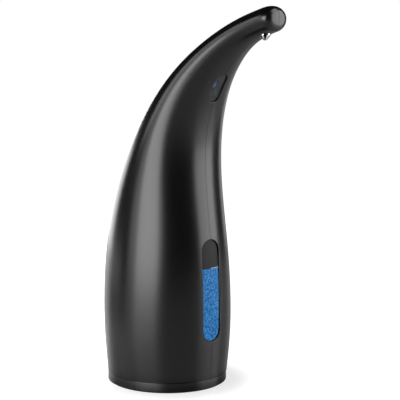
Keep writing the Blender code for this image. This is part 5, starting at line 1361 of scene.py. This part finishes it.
for name, node, body, teeth, module, phase, bore, low, high, x, z, finish, slot in (
        ("pinion_cut", "motor_pinion", "motor_rotor", PINION_TEETH, GEAR_MODULE, 0,
         MOTOR_SHAFT_RADIUS, gear_face, gear_end, MOTOR_AXIS_X, MOTOR_AXIS_HEIGHT, brass, "brass"),
        ("spur_moulded", "spur_gear", "pump_drive", SPUR_TEETH, GEAR_MODULE, 180 / SPUR_TEETH,
         PUMP_SHAFT_RADIUS, gear_face, gear_end, MOTOR_AXIS_X, pump_height, acetal,
         "natural_plastic"),
        ("drive_rotor_moulded", "drive_rotor", "pump_drive", ROTOR_TEETH, PUMP_MODULE, 0,
         PUMP_SHAFT_RADIUS, chamber_face + GAP, chamber_end - GAP, MOTOR_AXIS_X, pump_height,
         acetal, "natural_plastic"),
        ("idler_rotor_moulded", "idler_rotor", "pump_idler", ROTOR_TEETH, PUMP_MODULE,
         180 / ROTOR_TEETH, IDLER_PIN_RADIUS, chamber_face + GAP, chamber_end - GAP, idler_x,
         pump_height, acetal, "natural_plastic")):
    place = at_axis(x, z)
    if phase:
        low, high = low + GAP / 3, high - GAP / 3
    gear = toothed(name, gear_outline(teeth, module, 7, phase), low, high, TOOTH_EASE, place)
    cuts = [rod("bore", bore + GAP, (0, 0, low - GAP), (0, 0, high + GAP), 48, place)]
    if teeth == SPUR_TEETH:
        hub, web, deep = 2 * bore, 0.8 * teeth * module / 2, 0.3 * GEAR_WIDTH
        for start, end in ((low - GAP, low + deep), (high - deep, high + GAP)):
            cuts.append(lathe("web", [(hub, start), (web, start), (web, end), (hub, end)], 64, place,
                              closed=True))
        middle = (hub + web) / 2
        for k in range(6):
            x, y = middle * math.cos(math.pi * k / 3), middle * math.sin(math.pi * k / 3)
            cuts.append(rod("hole", HOLE_RADIUS, (x, y, low), (x, y, high), 24, place))
    carve(gear, "DIFFERENCE", *cuts)
    dressed(gear, finish, node, body, 25)


# Screws
# Pan-head screws of zinc-plated steel with a cross recess and a rolled thread: four hold the battery
# tray to the shell's bosses, two the pump to its bracket.
TRAY_WALL = 0.0018
SCREW_HEAD_RADIUS = 0.0022
SCREW_HEAD_HEIGHT = 0.0018
TRAY_SCREW_RADIUS = 0.00125
PUMP_SCREW_RADIUS = 0.0010
EAR_REACHES = (0.0114, -0.0090)
EAR_RISES = (-0.0065, 0.0066)


def screw(name, node, radius, length, place):
    """A screw that points up Z, with the underside of its head at zero."""
    core = 0.80 * radius
    pitch = 0.90 * radius
    form = lathe(name, eased_profile([(0, length), (core / 3, length), (core, length - 2 * core, 0),
                                      (core, 0, 0), (SCREW_HEAD_RADIUS, 0, 0.0002),
                                      (SCREW_HEAD_RADIUS, -SCREW_HEAD_HEIGHT, 0.0010),
                                      (0, -SCREW_HEAD_HEIGHT)], 0.0001, 6), 48, place)
    size = 0.55 * SCREW_HEAD_RADIUS
    carve(form, "DIFFERENCE",
          *[block("recess", (-x, -y, -2 * SCREW_HEAD_HEIGHT), (x, y, -0.45 * SCREW_HEAD_HEIGHT), place)
            for x, y in ((size, size / 5), (size / 5, size))])
    turns = (length - 2 * core - 2 * GAP) / pitch
    steps = int(turns * 20)
    helix = [place @ Vector((core * math.cos(2 * math.pi * turns * k / steps),
                             core * math.sin(2 * math.pi * turns * k / steps),
                             GAP + turns * pitch * k / steps)) for k in range(steps + 1)]
    carve(form, "UNION", bar("thread", helix, radius - core, 6))
    dressed(form, motor_steel, node, "housing", 40)


for number, (x, y) in enumerate(((x, y) for x in (-TRAY_SCREW_X, TRAY_SCREW_X)
                                 for y in (-TRAY_SCREW_Y, TRAY_SCREW_Y)), 1):
    screw(f"case_screw_{number}", f"tray_screw_{number}", TRAY_SCREW_RADIUS,
          TRAY_WALL + BOSS_HEIGHT - 3 * GAP, Matrix.Translation((x, y, TRAY_TOP - TRAY_WALL - GAP)))
for number, (x, reach, rise) in enumerate(zip((MOTOR_AXIS_X, idler_x), EAR_REACHES, EAR_RISES), 1):
    screw(f"bracket_screw_{number}", f"pump_screw_{number}", PUMP_SCREW_RADIUS,
          chamber_face - bracket_face,
          Matrix.Translation((x + reach, bracket_face - GAP, pump_height + rise))
          @ Matrix.Rotation(-math.pi / 2, 4, "X"))


# Tubes
# Two lengths of soft silicone tube, pushed over the barbs of tank, pump and nozzle holder.
TUBE_RADIUS = 0.0028
TUBE_BORE_RADIUS = 0.0019
TUBE_SIDE = 0.0155
HOLDER_RADIUS = 0.0043
PORT_SHARE = 0.68

rotor_tip = ROTOR_TEETH * PUMP_MODULE / 2 + ADDENDUM_SHARE * PUMP_MODULE
tube_middle = (TUBE_ROOM + TANK_INSET - WALL) / 2
port_rise = (rotor_tip + GAP) * PORT_SHARE


def route(points, count):
    """Points on the smooth line through a few places."""
    values = np.array([tuple(point) for point in points])
    bends = natural_bends(values)
    return [Vector(along(values, bends, i / count)) for i in range(count + 1)]


def tube(name, node, points, count):
    """A bored tube through a few places, finished in silicone."""
    line = route(points, count)
    piece = bar(name, line, TUBE_RADIUS, 40)
    first = line[0] + (line[0] - line[1]).normalized() * CUT_PAST
    last = line[-1] + (line[-1] - line[-2]).normalized() * CUT_PAST
    carve(piece, "DIFFERENCE", bar("bore", [first] + line[1:-1] + [last], TUBE_BORE_RADIUS, 32))
    dressed(piece, silicone, node, "housing", 50)


def crescent_point(share, side_offset, depth):
    """A point behind the tank, a depth inside the shell at a distance to one side."""
    centre, half_depth, half_width = spine(share)
    part = math.sqrt(1 - (side_offset / (half_width - WALL)) ** 2)
    return centre - across(share) * ((half_depth - WALL) * part - depth) + Vector((0, side_offset, 0))


silicone = plastic("silicone", (0.70, 0.72, 0.71), 0.34, 700, 0.00001, 0.05, 1.1, Alpha=0.82)
near, y, z = SPIGOT_PLACE.x - GAP, SPIGOT_PLACE.y, SPIGOT_PLACE.z
low_port, high_port, port = pump_height - port_rise, pump_height + port_rise, cover_end + GAP
reach = BARB_LENGTH
tube("tank_tube", "inlet_tube",
     [(near, y, z), (near - reach / 2, y, z), (near - reach, y, z),
      (near - 2 * reach, y, z + reach / 3),
      ((near + port_x) / 2 - reach, port + 2.4 * reach, (z + low_port) / 2),
      (port_x + reach / 2, port + 2 * reach, low_port - reach / 3), (port_x, port + reach, low_port),
      (port_x, port + reach / 2, low_port), (port_x, port, low_port)], 80)
points = [(port_x, port, high_port), (port_x, port + reach / 2, high_port),
          (port_x, port + reach, high_port),
          (port_x - reach / 2, port + 2.1 * reach, high_port + reach / 2),
          (port_x - 1.7 * reach, port + 2.3 * reach, BAY_TOP),
          crescent_point(spine_share(BAY_TOP + 2.2 * reach), TUBE_SIDE + reach, tube_middle)]
start, tank_end = spine_share(BAY_TOP + 5 * reach), spine_share(TANK_TOP + TUBE_RADIUS)
points += [crescent_point(start + (tank_end - start) * i / 7, TUBE_SIDE, tube_middle)
           for i in range(8)]
holder_share = share_where(NOZZLE_REACH, lambda s: spine(s)[0].x)
barb = spine(holder_share)[0]
barb_end = barb - spine_direction(holder_share - 0.03) * (HOLDER_RADIUS + BARB_LENGTH)
tube_end = barb + (barb_end - barb).normalized() * (HOLDER_RADIUS + 4 * GAP)
end_share = share_where(barb_end.x - reach, lambda s: spine(s)[0].x)
for i in range(1, 6):
    share = tank_end + (end_share - tank_end) * i / 5
    fade = (1 - i / 5) ** 2
    points.append(spine(share)[0].lerp(crescent_point(share, TUBE_SIDE * fade, tube_middle), fade))
tube("nozzle_tube", "delivery_tube", points + [barb_end, tube_end], 220)


# Wires
# Stranded leads in a PVC jacket from the cells and the motor to the control board, and the cable up
# to the sensor.
WIRE_RADIUS = 0.0006
CABLE_RADIUS = 0.0009

red_wire = plastic("red_pvc", (0.42, 0.012, 0.008), 0.36, 800, 0.000006)
black_wire = plastic("black_pvc", (0.010, 0.010, 0.011), 0.36, 800, 0.000006)
panel_depth = -CONTROL_BOARD_DEPTH - BOARD_THICKNESS / 2
panel_bottom = -(PANEL_LENGTH - WALL) / 2 - GAP - WIRE_RADIUS


def at_board(x, drop=0.0):
    """A place at the control board's lower edge, or a drop below it."""
    return panel_matrix @ Vector((x, panel_bottom - drop, panel_depth))


contact_x = CELL_LENGTH / 2 + CONTACT_ROOM / 2
above = TRAY_TOP + 2 * GAP
side = 1.5 * CELL_PITCH
start = cap_end - 2 * GAP
sensor_end = sensor_matrix @ Vector((0, -(SENSOR_LENGTH / 2 + CABLE_RADIUS), -SENSOR_BOARD_DEPTH))
first, last = spine_share(TANK_TOP + 0.010), panel_share + 0.10
top = (PANEL_LENGTH - WALL) / 2 + CABLE_RADIUS + GAP
LEADS = (
    ("cell_lead_red", "battery_lead_red", red_wire, WIRE_RADIUS,
     [(-contact_x, side, above), (-contact_x - 0.002, side - 0.001, 0.030), (-0.0345, 0.0125, 0.040),
      (-0.0362, 0.0105, 0.050), (-0.0368, 0.0090, 0.062), (-0.0362, 0.0070, 0.076),
      at_board(-0.005, 0.010), at_board(-0.005)]),
    ("cell_lead_black", "battery_lead_black", black_wire, WIRE_RADIUS,
     [(-contact_x, -side, above), (-contact_x - 0.002, -side + 0.001, 0.030),
      (-0.0340, -0.0130, 0.040), (-0.0362, -0.0110, 0.050), (-0.0368, -0.0095, 0.062),
      (-0.0362, -0.0070, 0.076), at_board(0.005, 0.010), at_board(0.005)]),
    ("motor_wire_red", "motor_lead_red", red_wire, WIRE_RADIUS,
     [(MOTOR_AXIS_X - TAB_REACH, start, MOTOR_AXIS_HEIGHT), (-0.0195, start - 0.0017, 0.0410),
      (-0.0225, -0.0295, 0.0500), (-0.0265, -0.0240, 0.0600), (-0.0295, -0.0165, 0.0700),
      (-0.0316, -0.0070, 0.0800), at_board(-0.0017, 0.008), at_board(-0.0017)]),
    ("motor_wire_black", "motor_lead_black", black_wire, WIRE_RADIUS,
     [(MOTOR_AXIS_X + TAB_REACH, start, MOTOR_AXIS_HEIGHT), (-0.0100, start - 0.0018, 0.0420),
      (-0.0170, -0.0325, 0.0510), (-0.0225, -0.0280, 0.0620), (-0.0268, -0.0215, 0.0720),
      (-0.0306, -0.0120, 0.0820), at_board(0.0017, 0.008), at_board(0.0017)]),
    ("sensor_wire", "sensor_cable", black_wire, CABLE_RADIUS,
     [sensor_end, sensor_end + Vector((-0.006, -0.005, 0.002))]
     + [crescent_point(first + (last - first) * i / 4, -TUBE_SIDE, tube_middle) for i in range(5)]
     + [panel_matrix @ Vector((0, top + 0.006, panel_depth)),
        panel_matrix @ Vector((0, top, panel_depth))]),
)
for name, node, finish, radius, points in LEADS:
    lead = bar(name, route(points, 120), radius, 16)
    dressed(lead, finish, node, "housing", 50)


# Circuit boards
# Fibreglass boards with a green solder mask over their copper. The control board carries two tact
# switches, a controller, capacitors and resistors. The sensor board has a chip on its back.
SWITCH_SIDE = 0.0045
LIFT = 0.0001
PIN_HALF = 0.00018
CAPACITOR_RADIUS = 0.0018
CAPACITOR_HEIGHT = 0.0042
PART_LENGTH = 0.0016
PART_WIDTH = 0.0008
PART_HEIGHT = 0.0005
MASK_GREEN = (0.010, 0.080, 0.028)

circuit = plastic("circuit_board", MASK_GREEN, 0.30, 1500, 0.000004)
tree, shader = circuit.node_tree, circuit.node_tree.nodes["Principled BSDF"]
place = added(tree, "ShaderNodeTexCoord").outputs["Object"]
tracks = added(tree, "ShaderNodeTexVoronoi", {"Vector": place, "Scale": 420}, distance="MANHATTAN",
               feature="F2")
copper = colour_ramp(tree, tracks.outputs["Distance"],
                     ((0, (*MASK_GREEN, 1)), (0.86, (0.035, 0.190, 0.060, 1))), "CONSTANT")
tree.links.new(copper["Color"], shader.inputs["Base Color"])
chip_plastic = plastic("chip_epoxy", (0.012, 0.012, 0.013), 0.55, 2600, 0.00001)
tin = metal("tinned_lead", (0.72, 0.72, 0.74), 0.34)
for name, node, width, length, bottom, place in (
        ("sensor_panel", "sensor_board", SENSOR_WIDTH - 2 * GAP, SENSOR_LENGTH - 2 * GAP,
         -SENSOR_BOARD_DEPTH, sensor_matrix),
        ("control_panel", "control_board", PANEL_WIDTH - WALL, PANEL_LENGTH - WALL,
         board_top - BOARD_THICKNESS, panel_matrix)):
    board = block(name, (-width / 2, -length / 2, bottom),
                  (width / 2, length / 2, bottom + BOARD_THICKNESS), place, 0.0001)
    dressed(board, circuit, node, "housing")

low, side = board_top + GAP, SWITCH_SIDE / 2
for name, node, y in (("tact_switch_plus", "plus_switch", BUTTON_SPACING / 2),
                      ("tact_switch_minus", "minus_switch", -BUTTON_SPACING / 2)):
    switch = block(name, (-side, y - side, low), (side, y + side, low + 0.65 * SWITCH_HEIGHT),
                   panel_matrix, 0.00015)
    plunger = eased_profile([(0, low + SWITCH_HEIGHT), (0.45 * side, low + SWITCH_HEIGHT),
                             (0.45 * side, low + SWITCH_HEIGHT / 2), (0, low + SWITCH_HEIGHT / 2)],
                            0.0001)
    carve(switch, "UNION",
          lathe("plunger", plunger, 40, panel_matrix @ Matrix.Translation((0, y, 0))))
    dressed(switch, chip_plastic, node, "housing")
    rim = 0.9 * side
    plate = block(name + "_frame", (-rim, y - rim, low + 0.66 * SWITCH_HEIGHT),
                  (rim, y + rim, low + 0.74 * SWITCH_HEIGHT), panel_matrix, 0.00006)
    carve(plate, "DIFFERENCE", rod("opening", 0.6 * side, (0, y, low), (0, y, low + 0.003), 40,
                                   panel_matrix))
    dressed(plate, tin, None, "housing")


def chip(name, matrix, length, width, height, pins):
    """A flat package with a row of gull-wing pins on each long side."""
    edge = width / 2
    body = block(name, (-edge, -length / 2, LIFT), (edge, length / 2, height), matrix, 0.0001)
    dressed(body, chip_plastic, None, "housing")
    outline = [(edge, 0.55 * height), (edge + 0.0003, 0.55 * height), (edge + 0.0005, LIFT),
               (edge + 0.0009, LIFT), (edge + 0.0009, 0), (edge + 0.0004, 0),
               (edge + 0.0002, 0.45 * height), (edge, 0.45 * height)]
    bm = bmesh.new()
    for side in (-1, 1):
        for i in range(pins):
            y = (i - (pins - 1) / 2) * length / pins
            rings = [[bm.verts.new((side * x, y + shift, z)) for x, z in outline]
                     for shift in (-PIN_HALF, PIN_HALF)]
            for k in range(len(outline)):
                j = (k + 1) % len(outline)
                bm.faces.new((rings[0][k], rings[0][j], rings[1][j], rings[1][k]))
            bm.faces.new(rings[0])
            bm.faces.new(rings[1])
    legs = as_object(name + "_pins", bm, matrix)
    legs.data.materials.append(tin)
    fitted(legs, None, "housing")


chip("controller", panel_matrix @ Matrix.Translation((0, 0, board_top + LIFT / 2))
     @ Matrix.Rotation(math.pi / 2, 4, "Z"), 0.0050, 0.0036, 0.0012, 8)
chip("sensor_chip", sensor_matrix @ Matrix.Translation((0, 0, -SENSOR_BOARD_DEPTH - LIFT / 2))
     @ Matrix.Rotation(math.pi, 4, "Y"), 0.0046, 0.0034, 0.0010, 4)
radius, top = CAPACITOR_RADIUS, CAPACITOR_HEIGHT
profile = eased_profile([(0, top), (radius - 0.0007, top), (radius - 0.0005, top - 0.0001),
                         (radius, top, 0.0002), (radius, 0.0007), (radius - 0.0002, 0.0006),
                         (radius, 0.0005), (radius, 0), (0, 0)], 0.0001)
for number, (x, y) in enumerate(((0.0, 0.0162), (-0.0016, -0.0162)), 1):
    capacitor = lathe(f"capacitor_{number}", profile, 48,
                      panel_matrix @ Matrix.Translation((x, y, board_top + LIFT)))
    dressed(capacitor, plastic(f"capacitor_sleeve_{number}", (0.02, 0.03, 0.07), 0.30), None,
            "housing")


def part_tree():
    """Places one small part on every point, and turns it by the point's own angle."""
    tree, given, result = node_group(
        "GeometryNodeTree", "placed_parts",
        {"Places": "Geometry", "Length": "Float", "Width": "Float", "Height": "Float",
         "Body": "Material", "Ends": "Material"}, {"Parts": "Geometry"})

    def box(width_share, length_share, height_share, material):
        size = added(tree, "ShaderNodeCombineXYZ",
                     {"X": maths(tree, "MULTIPLY", given["Width"], width_share),
                      "Y": maths(tree, "MULTIPLY", given["Length"], length_share),
                      "Z": maths(tree, "MULTIPLY", given["Height"], height_share)})
        cube = added(tree, "GeometryNodeMeshCube", {"Size": size.outputs["Vector"]})
        return added(tree, "GeometryNodeSetMaterial", {"Geometry": cube.outputs["Mesh"],
                                                       "Material": given[material]}).outputs[0]

    joined = added(tree, "GeometryNodeJoinGeometry", {"Geometry": box(0.98, 0.62, 1.0, "Body")})
    for side in (-1, 1):
        offset = added(tree, "ShaderNodeCombineXYZ",
                       {"Y": maths(tree, "MULTIPLY", given["Length"], 0.40 * side)})
        move = added(tree, "GeometryNodeTransform", {"Geometry": box(1.0, 0.20, 1.02, "Ends"),
                                                     "Translation": offset.outputs["Vector"]})
        tree.links.new(move.outputs["Geometry"], joined.inputs["Geometry"])
    turn = added(tree, "GeometryNodeInputNamedAttribute", {"Name": "turn"}, data_type="FLOAT")
    rotation = added(tree, "ShaderNodeCombineXYZ", {"Z": turn.outputs["Attribute"]})
    spread = added(tree, "GeometryNodeInstanceOnPoints",
                   {"Points": given["Places"], "Instance": joined.outputs["Geometry"],
                    "Rotation": rotation.outputs["Vector"]})
    real = added(tree, "GeometryNodeRealizeInstances", {"Geometry": spread.outputs["Instances"]})
    tree.links.new(real.outputs["Geometry"], result["Parts"])
    return tree


PART_PLACES = (
    # x, y and turn of each resistor or small capacitor on the control board
    (-0.0052, 0.0035, 0), (0.0052, 0.0035, 0), (-0.0052, -0.0030, 0), (0.0052, -0.0030, 0),
    (-0.0052, 0.0105, 0), (0.0052, 0.0105, 0), (-0.0052, -0.0105, 0), (0.0052, -0.0105, 0),
    (0.0026, -0.0165, 1), (0.0048, -0.0172, 1),
)
places = bpy.data.meshes.new("small_part_places")
places.from_pydata([(x, y, board_top + PART_HEIGHT / 2 + LIFT) for x, y, _ in PART_PLACES], [], [])
turns = places.attributes.new("turn", "FLOAT", "POINT").data
for slot, (_, _, quarter) in zip(turns, PART_PLACES):
    slot.value = quarter * math.pi / 2
parts_mesh = grown("small_parts", places, part_tree(),
                   {"Length": PART_LENGTH, "Width": PART_WIDTH, "Height": PART_HEIGHT,
                    "Body": chip_plastic, "Ends": tin})
parts_mesh.transform(panel_matrix)
small_parts = bpy.data.objects.new("small_parts", parts_mesh)
scene.collection.objects.link(small_parts)
fitted(small_parts, None, "housing")


# Seals, valve and holder
# A rubber gasket in the base, a ring on the filler cap's plug, a silicone valve in the nozzle and
# the holder that the tube is pushed on to.
HOLDER_HEIGHT = 0.0062
SKIRT_THICKNESS = 0.0020
SKIRT_BOTTOM = 0.0050
SKIRT_CLEARANCE = 0.0009
SEAL_EASE = 0.0003

rubber = plastic("seal_rubber", (0.014, 0.014, 0.014), 0.68, 1500, 0.00003)
outside = BASE_RADIUS - WALL - SKIRT_CLEARANCE
inside = outside - SKIRT_THICKNESS
low, high = FLOOR_TOP + GAP, SKIRT_BOTTOM - GAP
ring = lathe("gasket", [(outside, low + SEAL_EASE), (outside, high - SEAL_EASE),
                        (outside - SEAL_EASE, high), (inside + SEAL_EASE, high),
                        (inside, high - SEAL_EASE), (inside, low + SEAL_EASE),
                        (inside + SEAL_EASE, low), (outside - SEAL_EASE, low)], 160, closed=True)
dressed(ring, rubber, "base_seal", "base", 50)
thickness = 0.8 * SEAL_RADIUS
ring = lathe("cap_ring", [(plug_radius - SEAL_RADIUS + thickness * math.cos(math.pi * k / 8),
                           seal_height + thickness * math.sin(math.pi * k / 8)) for k in range(16)],
             96, cap_matrix, closed=True)
dressed(ring, rubber, "cap_seal", "cap", 60)

valve_floor = pocket_floor + GAP
lip = NOZZLE_BORE_RADIUS / 2
valve = lathe("duckbill_valve", [(VALVE_RADIUS, nozzle_top), (VALVE_RADIUS, valve_floor + 0.0002),
                                 (VALVE_RADIUS - 0.0002, valve_floor), (lip, valve_floor),
                                 (VALVE_RADIUS / 2, nozzle_top)], 48,
              Matrix.Translation((NOZZLE_REACH, 0, 0)), closed=True)
dressed(valve, silicone, "nozzle_valve", "housing")
low = nozzle_top + GAP
high = low + HOLDER_HEIGHT
holder = lathe("tube_holder", eased_profile([(0, low), (HOLDER_RADIUS, low), (HOLDER_RADIUS, high),
                                             (0, high)], 0.0004), 64,
               Matrix.Translation((NOZZLE_REACH, 0, 0)))
carve(holder, "UNION", rod("barb", BARB_RADIUS, barb, barb_end, 40))
beyond = barb_end + (barb_end - barb).normalized() * CUT_PAST
carve(holder, "DIFFERENCE", rod("barb_bore", BARB_BORE_RADIUS, barb, beyond, 32),
      rod("holder_bore", BARB_BORE_RADIUS, (NOZZLE_REACH, 0, low - CUT_PAST), barb, 32))
dressed(holder, acetal, "nozzle_holder", "housing")


# Tray, bracket and pump case
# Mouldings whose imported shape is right: the battery tray in black ABS, and the bracket and pump
# case in glass-filled nylon, with its flow marks.
tray_finish = plastic("tray_black", (0.020, 0.020, 0.021), 0.50, 1800, 0.00003)
nylon = plastic("filled_nylon", (0.030, 0.030, 0.032), 0.52, 1300, 0.00003, 0.10, 1.6)
for node, finish in (("battery_tray", tray_finish), ("motor_bracket", nylon),
                     ("pump_housing", pump_plastic), ("pump_cover", pump_plastic)):
    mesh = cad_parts[node].data
    mesh.materials.clear()
    mesh.materials.append(finish)
